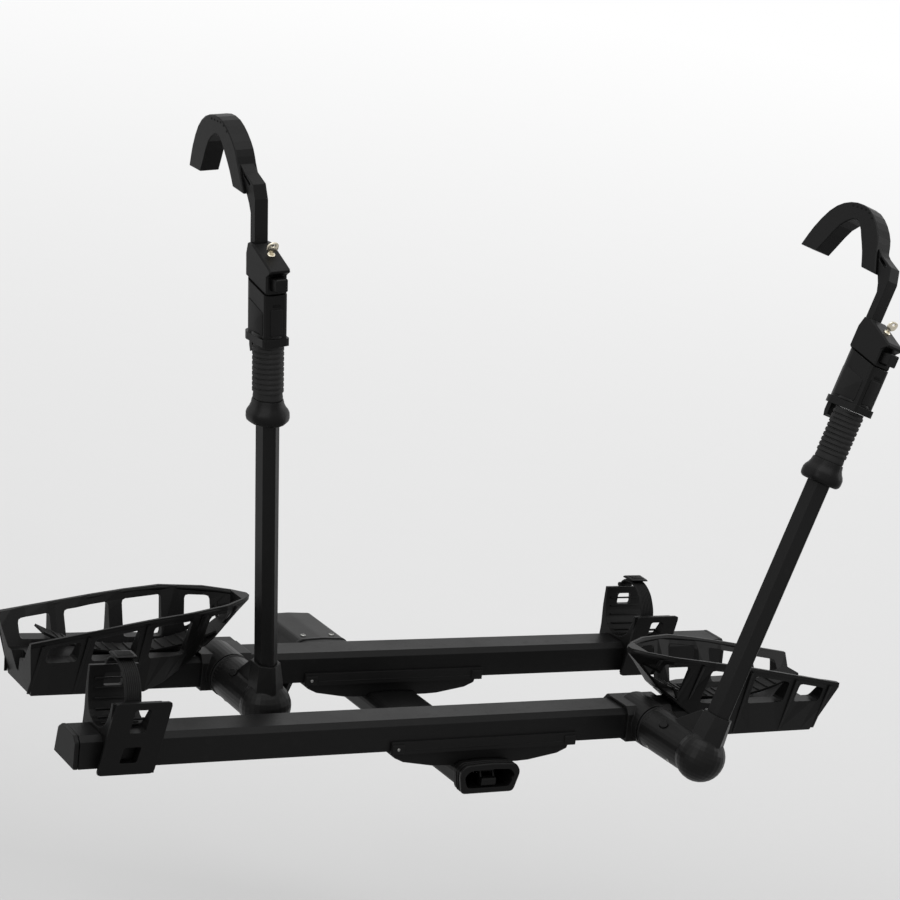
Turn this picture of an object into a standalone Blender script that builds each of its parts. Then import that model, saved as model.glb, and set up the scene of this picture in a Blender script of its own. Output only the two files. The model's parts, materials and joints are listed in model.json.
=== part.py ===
"""Hitch mounted rack that holds two bicycles by their wheels.

A square shank slides into the vehicle's receiver. A drop bracket on it carries a wide spine, which
tilts about one bolt. Two rails cross the spine. Each rail has a wheel tray, a strap cradle and a
folding arm, whose head slides down its mast until the hook holds the tyre.

Frame, in metres: origin at the receiver pin's centre, on the shank's axis. +X runs along the rails,
+Y goes into the receiver, +Z is up. The front rail is the one farther from the vehicle.
"""
import math

import bmesh
import bpy
from mathutils import Matrix, Vector

# ---- driving dimensions --------------------------------------------------------------------------
GAP = 0.0003                 # between pieces that touch
RUNNING = 0.0005             # between pieces that slide or turn on each other

RAIL_SPACING = 0.305         # from one rail to the next
INNER_RAIL_REACH = 0.5625    # receiver pin to the rail next to the vehicle
RAIL_BASE_Z = 0.190          # underside of the rails above the shank's axis

SHANK_WIDTH = 0.0508         # fits a 2 inch receiver
SHANK_WALL = 0.00635
SHANK_FRONT_Y = -0.155
SHANK_END_Y = 0.065
PIN_HOLE_RADIUS = 0.0081     # for a 5/8 inch receiver pin

PIVOT_Y = -0.225             # axis of the spine's tilt
PIVOT_Z = 0.142
PIVOT_BOLT_RADIUS = 0.007
SECTOR_RADIUS = 0.039        # rim that the tilt pin rides on
TILT_PIN_RADIUS = 0.006
TILT_PIN_ANGLE = 250         # degrees about the pivot, from +Y towards +Z
PLATE_THICKNESS = 0.008

SPINE_TOP_Z = 0.168
SPINE_HEIGHT = 0.042
SPINE_TOP_WIDTH = 0.107
SPINE_BASE_WIDTH = 0.090
SPINE_WALL = 0.004
SPINE_OVERHANG = 0.0585      # spine tube beyond the front rail's centre plane
SPINE_FRONT_Y = -INNER_RAIL_REACH - RAIL_SPACING - SPINE_OVERHANG
SPINE_REAR_Y = -0.340
HEAD_REAR_Y = -0.195
BEZEL_DEPTH = 0.012          # in front of the tube's end
BEZEL_FRONT_Y = SPINE_FRONT_Y - BEZEL_DEPTH
BEZEL_LIP = 0.003            # how far the bezel stands out around the tube

RAIL_HEIGHT = 0.048
RAIL_TOP_WIDTH = 0.0486
RAIL_SHOULDER_WIDTH = 0.0696
RAIL_SHOULDER_Z = 0.0404
RAIL_BASE_WIDTH = 0.0786
RAIL_WALL = 0.003
RAIL_CAP_END = 0.712         # outer face of the end cap, from the spine's centre plane
RAIL_CAP_THICKNESS = 0.008
RAIL_TRAY_END = 0.655        # bare end of the rail, inside the wheel tray

SADDLE_LENGTH = 0.352
SADDLE_TOP_Z = 0.016
SADDLE_WALL = 0.0042
KEEL_LENGTH = 0.334
KEEL_DEPTH = 0.026
KEEL_WIDTH = 0.074

HUB_X = 0.324                # arm axis, from the spine's centre plane
HUB_Z = 0.024                # above the rail's underside
HUB_RADIUS = 0.038
HUB_SEAM = 0.055             # joint face between hub and elbow, from the rail's centre plane
HUB_SLEEVE = 0.092           # length of the hub's grip on the rail
HUB_BOLT_RADIUS = 0.008
ELBOW_RADIUS = 0.0365
ELBOW_LOBE_RADIUS = 0.0415
ARM_OFFSET = 0.187           # mast plane, from the rail's centre plane
ARM_LEAN = {"front": 16.0, "rear": -8.4}
HEAD_DRAW = {"front": 0.015, "rear": 0.0}    # how far up its mast each head is set

MAST_WIDTH = 0.028
MAST_DEPTH = 0.050
MAST_CORNER = 0.012
MAST_WALL = 0.0025
MAST_FOOT = 0.032            # along the mast, from the arm axis
MAST_TOP = 0.555
SOCKET_RIM = 0.075
HEAD_FOOT = 0.474            # lower end of the sliding head
COLLAR_HEIGHT = 0.038
GRIP_HEIGHT = 0.088
SLEEVE_HEIGHT = 0.094
SLEEVE_WIDTH = MAST_WIDTH + 0.010
SLEEVE_FRONT = MAST_DEPTH / 2 + 0.004
SLEEVE_BACK = MAST_DEPTH / 2 + 0.0205        # room for the trigger behind the mast
HEAD_TOP = HEAD_FOOT + COLLAR_HEIGHT + GRIP_HEIGHT + SLEEVE_HEIGHT
NECK_WIDTH = 0.022
NECK_DEPTH = 0.016
NECK_Y = MAST_DEPTH / 2 + 0.0095
HOOK_WIDTH = 0.032
HOOK_CROWN = HEAD_TOP + 0.229    # top of the hook, along the mast
HOOK_HEEL_Y = NECK_Y + 0.0225    # lower back corner of the hook, from the mast's plane
HOOK_HEEL = HEAD_TOP + 0.126
HOOK_SEAM_Y = NECK_Y + 0.0445    # upper end of its joint with the neck
HOOK_SEAM = HEAD_TOP + 0.168
HOOK_TIP_Y = NECK_Y + 0.2235

TRAY_NOSE = 0.285            # from the spine's centre plane
TRAY_END = 0.690
TRAY_WALL = 0.005
SEAT_RADIUS = 0.345
SEAT_CENTRE = 0.490
SEAT_THICKNESS = 0.004

CRADLE_X = {"front": 0.628, "rear": 0.520}
CRADLE_LENGTH = 0.080
CRADLE_SIDE = 0.052
CRADLE_PLATE_TOP = 0.106
CRADLE_WING_TOP = 0.130
STRAP_WIDTH = 0.028
STRAP_THICKNESS = 0.004

ARM_SIDE = {"front": 1, "rear": -1}
RAIL_Y = {"rear": -INNER_RAIL_REACH, "front": -INNER_RAIL_REACH - RAIL_SPACING}

# ---- materials -----------------------------------------------------------------------------------
FINISHES = {
    "coated_metal": ((0.020, 0.021, 0.022), 0.42, 0.35),
    "coated_steel": ((0.016, 0.016, 0.017), 0.38, 0.55),
    "black_plastic": ((0.024, 0.024, 0.025), 0.55, 0.0),
    "grip_rubber": ((0.075, 0.074, 0.072), 0.72, 0.0),
    "strap_rubber": ((0.030, 0.030, 0.031), 0.65, 0.0),
    "bare_steel": ((0.48, 0.47, 0.45), 0.34, 0.95),
    "brass": ((0.55, 0.42, 0.20), 0.30, 0.95),
}


def clear_scene():
    for obj in list(bpy.data.objects):
        bpy.data.objects.remove(obj, do_unlink=True)


def new_collection(name):
    collection = bpy.data.collections.new(name)
    bpy.context.scene.collection.children.link(collection)
    return collection


def principled(name, finish):
    """A material of its own for one sub-part."""
    colour, roughness, metallic = FINISHES[finish]
    material = bpy.data.materials.new(name)
    material.use_nodes = True
    shader = material.node_tree.nodes["Principled BSDF"]
    shader.inputs["Base Color"].default_value = (*colour, 1.0)
    shader.inputs["Roughness"].default_value = roughness
    shader.inputs["Metallic"].default_value = metallic
    material.diffuse_color = (*colour, 1.0)
    return material


# ---- frames: which plane an outline is drawn in --------------------------------------------------
def plane_yz(x=0.0):
    """Outline (y, z), thickness along X, centred on x."""
    return Matrix(((0, 0, 1, x), (1, 0, 0, 0), (0, 1, 0, 0), (0, 0, 0, 1)))


def plane_xz(y=0.0):
    """Outline (x, z), thickness along Y, centred on y."""
    return Matrix(((1, 0, 0, 0), (0, 0, -1, y), (0, 1, 0, 0), (0, 0, 0, 1)))


def plane_xy(z=0.0):
    """Outline (x, y), thickness along Z, centred on z."""
    return Matrix.Translation((0, 0, z))


# ---- outlines ------------------------------------------------------------------------------------
def arc(centre, radius, start, end, steps):
    """Points on an arc, angles in degrees."""
    points = []
    for i in range(steps + 1):
        angle = math.radians(start + (end - start) * i / steps)
        points.append((centre[0] + radius * math.cos(angle), centre[1] + radius * math.sin(angle)))
    return points


def circle(centre, radius, steps=20):
    return arc(centre, radius, 0, 360 - 360 / steps, steps - 1)


def rectangle(x0, y0, x1, y1):
    return [(x0, y0), (x1, y0), (x1, y1), (x0, y1)]


def rounded(points, radius, steps=3):
    """The outline with each corner replaced by a short round."""
    result = []
    count = len(points)
    for i, point in enumerate(points):
        here = Vector(point)
        before = (Vector(points[i - 1]) - here)
        after = (Vector(points[(i + 1) % count]) - here)
        reach = min(radius, before.length * 0.45, after.length * 0.45)
        start = here + before.normalized() * reach
        end = here + after.normalized() * reach
        for k in range(steps + 1):
            t = k / steps
            result.append(tuple(start * (1 - t) ** 2 + here * 2 * t * (1 - t) + end * t ** 2))
    return result


def octagon(width, depth, corner):
    """Flat oval of eight sides, centred on the origin."""
    w, d, c = width / 2, depth / 2, corner
    return [(w, c - d), (w, d - c), (w - c, d), (c - w, d), (-w, d - c), (-w, c - d), (c - w, -d),
            (w - c, -d)]


def smooth_path(points, per_span=4):
    """Catmull-Rom curve through the points."""
    ends = [Vector(points[0]) * 2 - Vector(points[1])] + [Vector(p) for p in points]
    ends.append(Vector(points[-1]) * 2 - Vector(points[-2]))
    curve = []
    for i in range(1, len(ends) - 2):
        a, b, c, d = ends[i - 1:i + 3]
        for k in range(per_span):
            t = k / per_span
            curve.append(0.5 * (2 * b + (c - a) * t + (2 * a - 5 * b + 4 * c - d) * t ** 2
                                + (3 * b - a - 3 * c + d) * t ** 3))
    curve.append(ends[-2])
    return curve


def band(path, thickness):
    """Outline of a strip that follows the path, its thickness split on both sides."""
    left, right = [], []
    for i, point in enumerate(path):
        along = path[min(i + 1, len(path) - 1)] - path[max(i - 1, 0)]
        across = Vector((-along.y, along.x)).normalized() * thickness / 2
        left.append(tuple(point + across))
        right.append(tuple(point - across))
    return left + right[::-1]


# ---- solids --------------------------------------------------------------------------------------
class Workshop:
    """Makes named parts and the cutters and additions that shape them."""

    def __init__(self):
        self.parts = new_collection("hitch_bike_rack")
        self.cutters = new_collection("cutters")

    def mesh_object(self, name, mesh, collection, place=None, parent=None):
        obj = bpy.data.objects.new(name, mesh)
        collection.objects.link(obj)
        if parent is not None:
            obj.parent = parent
        if place is not None:
            obj.matrix_local = place
        return obj

    def empty(self, name, place):
        obj = bpy.data.objects.new(name, None)
        self.cutters.objects.link(obj)
        obj.empty_display_size = 0.03
        obj.matrix_world = place
        bpy.context.view_layer.update()
        return obj

    def part(self, name, mesh, finish, place=None, parent=None, smooth=None):
        mesh.name = name
        mesh.materials.append(principled(name, finish))
        if smooth:
            mesh.shade_smooth()
            mesh.set_sharp_from_angle(angle=math.radians(smooth))
        return self.mesh_object(name, mesh, self.parts, place, parent)

    def tool(self, obj, mesh, operation):
        """Cuts the mesh from the part, or joins it on; the mesh is in the part's own frame."""
        bpy.context.view_layer.update()
        cutter = self.mesh_object(obj.name + "_" + operation.lower(), mesh, self.cutters)
        cutter.matrix_world = obj.matrix_world
        cutter.hide_render = True
        cutter.display_type = 'WIRE'
        cutter.hide_set(True)
        modifier = obj.modifiers.new(operation.lower(), 'BOOLEAN')
        modifier.operation = operation
        modifier.solver = 'EXACT'
        modifier.object = cutter
        return cutter

    def cut(self, obj, *meshes):
        for mesh in meshes:
            self.tool(obj, mesh, 'DIFFERENCE')

    def join(self, obj, *meshes):
        for mesh in meshes:
            self.tool(obj, mesh, 'UNION')


def slab(loops, thickness, plane):
    """Mesh of a flat outline with holes, drawn as a filled curve and given a thickness."""
    curve = bpy.data.curves.new("outline", 'CURVE')
    curve.dimensions = '2D'
    curve.fill_mode = 'BOTH'
    curve.extrude = thickness / 2
    for loop in loops:
        spline = curve.splines.new('POLY')
        spline.points.add(len(loop) - 1)
        for point, (x, y) in zip(spline.points, loop):
            point.co = (x, y, 0, 1)
        spline.use_cyclic_u = True
    obj = bpy.data.objects.new("outline", curve)
    bpy.context.scene.collection.objects.link(obj)
    bpy.context.view_layer.update()
    mesh = bpy.data.meshes.new_from_object(obj.evaluated_get(bpy.context.evaluated_depsgraph_get()))
    bpy.data.objects.remove(obj)
    bpy.data.curves.remove(curve)
    shape = bmesh.new()
    shape.from_mesh(mesh)
    bmesh.ops.remove_doubles(shape, verts=shape.verts, dist=1e-6)
    bmesh.ops.recalc_face_normals(shape, faces=shape.faces)
    shape.transform(plane)
    shape.to_mesh(mesh)
    shape.free()
    return mesh


def slab_between(loops, low, high, plane_at):
    """A slab that runs from low to high across its plane."""
    return slab(loops, high - low, plane_at((low + high) / 2))


def box(low, high):
    """Mesh of a box between two corners."""
    size = Vector(high) - Vector(low)
    middle = (Vector(high) + Vector(low)) / 2
    shape = bmesh.new()
    bmesh.ops.create_cube(shape, size=1.0, matrix=Matrix.Translation(middle) @ Matrix.Diagonal((*size, 1)))
    mesh = bpy.data.meshes.new("box")
    shape.to_mesh(mesh)
    shape.free()
    return mesh


AXES = {"x": Matrix.Rotation(math.pi / 2, 4, 'Y'), "y": Matrix.Rotation(-math.pi / 2, 4, 'X'),
        "z": Matrix.Identity(4)}


def cylinder(centre, radius, length, axis, segments=24, end_radius=None):
    """Mesh of a cylinder or cone centred on a point, its second end at +axis."""
    shape = bmesh.new()
    bmesh.ops.create_cone(shape, cap_ends=True, segments=segments, radius1=radius,
                          radius2=radius if end_radius is None else end_radius, depth=length,
                          matrix=Matrix.Translation(centre) @ AXES[axis])
    mesh = bpy.data.meshes.new("cylinder")
    shape.to_mesh(mesh)
    shape.free()
    return mesh


def ball(centre, radius, segments=20, rings=12):
    shape = bmesh.new()
    bmesh.ops.create_uvsphere(shape, u_segments=segments, v_segments=rings, radius=radius,
                              matrix=Matrix.Translation(centre))
    mesh = bpy.data.meshes.new("ball")
    shape.to_mesh(mesh)
    shape.free()
    return mesh


def loft(rings):
    """Closed mesh through rings of the same number of points, capped at both ends."""
    shape = bmesh.new()
    rows = [[shape.verts.new(point) for point in ring] for ring in rings]
    for lower, upper in zip(rows, rows[1:]):
        for i in range(len(lower)):
            k = (i + 1) % len(lower)
            shape.faces.new((lower[i], lower[k], upper[k], upper[i]))
    shape.faces.new(rows[0][::-1])
    shape.faces.new(rows[-1])
    bmesh.ops.recalc_face_normals(shape, faces=shape.faces)
    mesh = bpy.data.meshes.new("loft")
    shape.to_mesh(mesh)
    shape.free()
    return mesh


def bevelled(obj, width, segments=1, angle=40):
    modifier = obj.modifiers.new("edge", 'BEVEL')
    modifier.width = width
    modifier.segments = segments
    modifier.limit_method = 'ANGLE'
    modifier.angle_limit = math.radians(angle)


# ---- sections shared by pieces that fit each other -----------------------------------------------
def rail_section(grow=0.0):
    """The rail's outline (y, z) above its underside, grown for a clearance."""
    base, shoulder, top = (w / 2 + grow for w in (RAIL_BASE_WIDTH, RAIL_SHOULDER_WIDTH, RAIL_TOP_WIDTH))
    return [(-base, -grow), (base, -grow), (shoulder, RAIL_SHOULDER_Z), (top, RAIL_HEIGHT + grow),
            (-top, RAIL_HEIGHT + grow), (-shoulder, RAIL_SHOULDER_Z)]


def spine_section(grow=0.0):
    """The spine tube's outline (x, z), with a crowned top, grown for a clearance."""
    top, base = SPINE_TOP_WIDTH / 2 + grow, SPINE_BASE_WIDTH / 2 + grow
    high, low = SPINE_TOP_Z + grow, SPINE_TOP_Z - SPINE_HEIGHT - grow
    crown = 0.002
    return rounded([(-base, low), (base, low), (top, high - 0.012), (top - 0.010, high - crown), (0, high),
                    (0.010 - top, high - crown), (-top, high - 0.012)], 0.006, 2)


def at_pivot(radius, angle):
    """Point (y, z) at a distance from the tilt axis, the angle from +Y towards +Z."""
    turn = math.radians(angle)
    return (PIVOT_Y + radius * math.cos(turn), PIVOT_Z + radius * math.sin(turn))


TILT_PIN = at_pivot(SECTOR_RADIUS + TILT_PIN_RADIUS + GAP, TILT_PIN_ANGLE)


# ---- receiver side -------------------------------------------------------------------------------
def make_shank(shop):
    half, inner = SHANK_WIDTH / 2, SHANK_WIDTH / 2 - SHANK_WALL
    loops = [rounded(rectangle(-half, -half, half, half), 0.004), rectangle(-inner, -inner, inner, inner)]
    shank = shop.part("hitch_shank", slab_between(loops, SHANK_FRONT_Y, SHANK_END_Y, plane_xz),
                      "coated_steel")
    shop.cut(shank, cylinder((0, 0, 0), PIN_HOLE_RADIUS, SHANK_WIDTH * 1.5, "x"))


def bracket_outline():
    """Side plate (y, z): a sector about the tilt axis on a leg that drops to the shank."""
    half = SHANK_WIDTH / 2
    hood_inside = HEAD_TOP_INSIDE - PIVOT_Z - RUNNING
    rear = PIVOT_Y + hood_inside
    sector = arc((PIVOT_Y, PIVOT_Z), SECTOR_RADIUS, 290, 185, 12)
    lobe = arc((PIVOT_Y, PIVOT_Z), hood_inside, 110, 20, 5)
    leg = [(rear, PIVOT_Z - 0.031), (PIVOT_Y + 0.060, PIVOT_Z - 0.034), (PIVOT_Y + 0.105, 0.060),
           (SHANK_FRONT_Y + 0.085, half), (SHANK_FRONT_Y + 0.085, -half), (SHANK_FRONT_Y - 0.012, -half),
           (PIVOT_Y + 0.020, 0.050), (PIVOT_Y + 0.0215, PIVOT_Z - 0.050)]
    return sector + lobe + leg


def make_bracket(shop):
    bolt_hole = circle((PIVOT_Y, PIVOT_Z), PIVOT_BOLT_RADIUS + RUNNING)
    for name, side in (("bracket_plate_left", -1), ("bracket_plate_right", 1)):
        inner = SHANK_WIDTH / 2 + GAP
        x = side * (inner + PLATE_THICKNESS / 2)
        shop.part(name, slab([bracket_outline(), bolt_hole], PLATE_THICKNESS, plane_yz(x)), "coated_steel")


def make_pivot_bolt(shop):
    reach = SPINE_TOP_WIDTH / 2 + RUNNING
    axis = (PIVOT_Y, PIVOT_Z)
    head = 0.006
    bolt = shop.part("pivot_bolt", slab([circle(axis, 0.0125, 6)], head, plane_yz(-reach - head / 2)),
                     "bare_steel")
    shop.join(bolt, cylinder((0.002, *axis), PIVOT_BOLT_RADIUS, 2 * reach + head + 0.012, "x", 20))
    nut = [circle(axis, 0.0125, 6), circle(axis, PIVOT_BOLT_RADIUS + GAP)]
    shop.part("pivot_nut", slab(nut, head, plane_yz(reach + head / 2 + GAP)), "bare_steel")


def make_tension_drive(shop):
    """Knob and screw that draw a wedge inside the shank's end, to take up the receiver's play."""
    knob_length = 0.036
    knob_y = SHANK_FRONT_Y - GAP - knob_length / 2
    lobes = [(0.020 + 0.0022 * math.cos(math.radians(6 * a)), a) for a in range(0, 360, 10)]
    outline = [(r * math.cos(math.radians(a)), r * math.sin(math.radians(a))) for r, a in lobes]
    knob = shop.part("tension_knob", slab([outline], knob_length, plane_xz(knob_y)), "black_plastic",
                     smooth=35)
    bevelled(knob, 0.002)
    wedge_y = SHANK_END_Y - 0.012
    wedge_half = SHANK_WIDTH / 2 - SHANK_WALL - 0.001
    rod_end = wedge_y - 0.010 - GAP
    rod_start = SHANK_FRONT_Y
    shop.part("tension_rod", cylinder((0, (rod_start + rod_end) / 2, 0), 0.005, rod_end - rod_start, "y",
                                      16),
              "bare_steel")
    wedge = [(-0.010, -wedge_half), (0.010, -wedge_half), (0.004, wedge_half), (-0.010, wedge_half)]
    place = [(wedge_y + y, z) for y, z in wedge]
    shop.part("expander_wedge", slab([place], wedge_half * 2, plane_yz()), "bare_steel")


# ---- spine ---------------------------------------------------------------------------------------
HEAD_WALL = 0.005
HEAD_TOP_INSIDE = SPINE_TOP_Z - HEAD_WALL - 0.002      # under the crown


def make_spine_tube(shop):
    loops = [spine_section(), spine_section(-SPINE_WALL)]
    tube = shop.part("spine_tube", slab_between(loops, SPINE_FRONT_Y, SPINE_REAR_Y, plane_xz),
                     "coated_metal",
                     smooth=40)
    screw_y = RAIL_Y["rear"]
    shop.cut(tube, *(cylinder((x, screw_y, SPINE_TOP_Z), 0.0035, 0.02, "z", 12) for x in (-0.03, 0.03)))


def make_spine_head(shop):
    """Hood at the spine's rear end: a crowned top with two cheeks that hold the tilt bolt."""
    half = SPINE_TOP_WIDTH / 2 - 0.0005
    high, low = SPINE_TOP_Z, PIVOT_Z - 0.060
    inner = half - HEAD_WALL
    hood = rounded([(-half, low), (-half, high - 0.009), (0.008 - half, high - 0.002), (0, high),
                    (half - 0.008, high - 0.002), (half, high - 0.009), (half, low)], 0.004, 2)
    legs = [(inner, low), (inner, HEAD_TOP_INSIDE), (-inner, HEAD_TOP_INSIDE), (-inner, low)]
    outline = hood + legs
    front = SPINE_REAR_Y + GAP
    head = shop.part("spine_head", slab_between([outline], front, HEAD_REAR_Y, plane_xz), "coated_metal",
                     smooth=40)
    width = SPINE_TOP_WIDTH * 1.2
    below = SPINE_TOP_Z - SPINE_HEIGHT
    # the cheeks are deep only around the tilt pin
    clear = [(front - 0.01, low - 0.01), (PIVOT_Y - 0.050, low - 0.01), (PIVOT_Y - 0.062, below),
             (front - 0.01, below)]
    rear = [(HEAD_REAR_Y + 0.01, low - 0.01), (PIVOT_Y + 0.012, low - 0.01),
            (PIVOT_Y + 0.020, PIVOT_Z - 0.02),
            (HEAD_REAR_Y + 0.01, PIVOT_Z - 0.012)]
    pin_far = Vector(TILT_PIN) + 0.009 * Vector((math.cos(math.radians(TILT_PIN_ANGLE)),
                                                 math.sin(math.radians(TILT_PIN_ANGLE))))
    slot = band([Vector(TILT_PIN), pin_far], 2 * (TILT_PIN_RADIUS + RUNNING))
    slot_ends = [cylinder((0, *end), TILT_PIN_RADIUS + RUNNING, width, "x",
                          16) for end in (TILT_PIN, pin_far)]
    shop.cut(head, slab([clear], width, plane_yz()), slab([rear], width, plane_yz()),
             cylinder((0, PIVOT_Y, PIVOT_Z), PIVOT_BOLT_RADIUS + RUNNING, width, "x", 20),
             slab([slot], width, plane_yz()), *slot_ends)


def make_bezel(shop):
    """Plastic frame around the spine's front end, with an open mouth for the lever."""
    ring = [spine_section(BEZEL_LIP), spine_section(-SPINE_WALL - 0.001)]
    bezel = shop.part("spine_bezel", slab_between(ring, BEZEL_FRONT_Y, SPINE_FRONT_Y - GAP, plane_xz),
                      "black_plastic", smooth=40)
    shop.join(bezel, slab_between([spine_section(BEZEL_LIP), spine_section(GAP)], SPINE_FRONT_Y - 0.001,
                                  SPINE_FRONT_Y + 0.014, plane_xz))


LEVER_AXIS = (BEZEL_FRONT_Y + 0.018, SPINE_TOP_Z - 0.0125)          # tilt lever's hinge (y, z)
LEVER_BLOCK = 0.014


def make_tilt_release(shop):
    """Pull lever in the spine's mouth, its rod and the cross pin that locks the tilt."""
    face = BEZEL_FRONT_Y + 0.002
    low = SPINE_TOP_Z - SPINE_HEIGHT + SPINE_WALL + 0.0025
    cheek = band([Vector(LEVER_AXIS), Vector((face + LEVER_BLOCK / 2, low + LEVER_BLOCK / 2))], 0.008)
    block = [(face, low), (face + LEVER_BLOCK, low), (face + LEVER_BLOCK, low + LEVER_BLOCK),
             (face, low + LEVER_BLOCK)]
    lever = shop.part("tilt_lever", slab([cheek], 0.003, plane_yz(-0.012)), "black_plastic")
    shop.join(lever, slab([cheek], 0.003, plane_yz(0.012)),
              slab([rounded(block, 0.003, 2)], 0.027, plane_yz()),
              cylinder((0, *LEVER_AXIS), 0.0045, 0.030, "x", 16))
    rod_front, rod_rear = face + LEVER_BLOCK + RUNNING, PIVOT_Y - 0.045
    rod_z = low + LEVER_BLOCK / 2
    shop.part("tilt_rod", cylinder((0, (rod_front + rod_rear) / 2, rod_z), 0.003, rod_rear - rod_front,
                                   "y", 12),
              "bare_steel")
    shop.part("tilt_pin", cylinder((0, *TILT_PIN), TILT_PIN_RADIUS, SPINE_TOP_WIDTH + 0.004, "x", 20),
              "bare_steel")


def make_clamp(shop, name):
    """Trough that the rail lies in, and the boat-shaped keel between it and the spine."""
    y0 = RAIL_Y[name]
    outer = RAIL_BASE_WIDTH / 2 + RUNNING + SADDLE_WALL
    lean = (RAIL_BASE_WIDTH - RAIL_SHOULDER_WIDTH) / 2 / RAIL_SHOULDER_Z
    top = SADDLE_TOP_Z
    inside = RAIL_BASE_WIDTH / 2 + RUNNING
    floor = -SADDLE_WALL - RUNNING
    trough = [(-outer, floor), (outer, floor), (outer - lean * top, top), (inside - lean * top, top),
              (inside, -RUNNING), (-inside, -RUNNING), (lean * top - inside,
                                                        top), (lean * top - outer, top)]
    loop = [(y0 + y, RAIL_BASE_Z + z) for y, z in trough]
    shop.part(name + "_saddle", slab([loop], SADDLE_LENGTH, plane_yz()), "black_plastic")
    half, deck = KEEL_LENGTH / 2, RAIL_BASE_Z + floor - GAP
    keel_low = deck - KEEL_DEPTH
    hull = [(-half, deck), (half, deck), (half - 0.002, deck - 0.008), (half - 0.020, deck - 0.016),
            (half * 0.55, keel_low + 0.001), (half * 0.42, keel_low), (-half * 0.42, keel_low),
            (-half * 0.55, keel_low + 0.001), (0.020 - half, deck - 0.016), (0.002 - half, deck - 0.008)]
    keel = shop.part(name + "_keel", slab([hull[::-1]], KEEL_WIDTH, plane_xz(y0)), "coated_metal")
    bevelled(keel, 0.0025)
    shop.cut(keel, slab([spine_section(GAP)], KEEL_WIDTH * 1.2, plane_xz(y0)))


# ---- rails ---------------------------------------------------------------------------------------
def along_rail(name, low, high):
    """World X span for distances on the arm's side of the rail."""
    side = ARM_SIDE[name]
    return sorted((side * low, side * high))


def rail_loop(name, section):
    return [(RAIL_Y[name] + y, RAIL_BASE_Z + z) for y, z in section]


def make_rail(shop, name):
    cap_face = -(RAIL_CAP_END - RAIL_CAP_THICKNESS)
    low, high = along_rail(name, cap_face, RAIL_TRAY_END)
    loops = [rail_loop(name, rail_section()), rail_loop(name, rail_section(-RAIL_WALL))]
    shop.part(name + "_rail", slab_between(loops, low, high, plane_yz), "coated_metal")
    low, high = along_rail(name, -RAIL_CAP_END, cap_face - GAP)
    cap = shop.part(name + "_rail_cap", slab_between([rail_loop(name, rail_section(0.0004))], low, high,
                                                     plane_yz),
                    "black_plastic")
    bevelled(cap, 0.0015)


def hub_centre(name, offset):
    """Point on the arm's axis, the offset measured from the rail towards the arm."""
    return Vector((ARM_SIDE[name] * HUB_X, RAIL_Y[name] - offset, RAIL_BASE_Z + HUB_Z))


def make_hub(shop, name):
    """Casting on the rail: a grip around the section and a drum that the arm turns on."""
    low, high = along_rail(name, HUB_X - HUB_SLEEVE / 2, HUB_X + HUB_SLEEVE / 2)
    sleeve = slab_between([rail_loop(name, rail_section(0.005))], low, high, plane_yz)
    hub = shop.part(name + "_hub", sleeve, "coated_metal", smooth=35)
    drum_back = -0.012
    drum = cylinder(hub_centre(name, (HUB_SEAM + drum_back) / 2), HUB_RADIUS, HUB_SEAM - drum_back, "y", 32)
    dome = cylinder(hub_centre(name, drum_back - 0.009), HUB_RADIUS, 0.018, "y", 32, HUB_RADIUS * 0.62)
    shop.join(hub, drum, dome)
    bolt_span = 0.070
    shop.cut(hub, slab_between([rail_loop(name, rail_section(GAP))], low - 0.05, high + 0.05, plane_yz),
             cylinder(hub_centre(name, HUB_SEAM), HUB_BOLT_RADIUS + GAP, 2 * 0.012, "y", 20))
    middle = HUB_SEAM - 0.010 + bolt_span / 2
    shop.part(name + "_hub_bolt", cylinder(hub_centre(name, middle), HUB_BOLT_RADIUS, bolt_span, "y", 20),
              "bare_steel")
    return bolt_span


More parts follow.
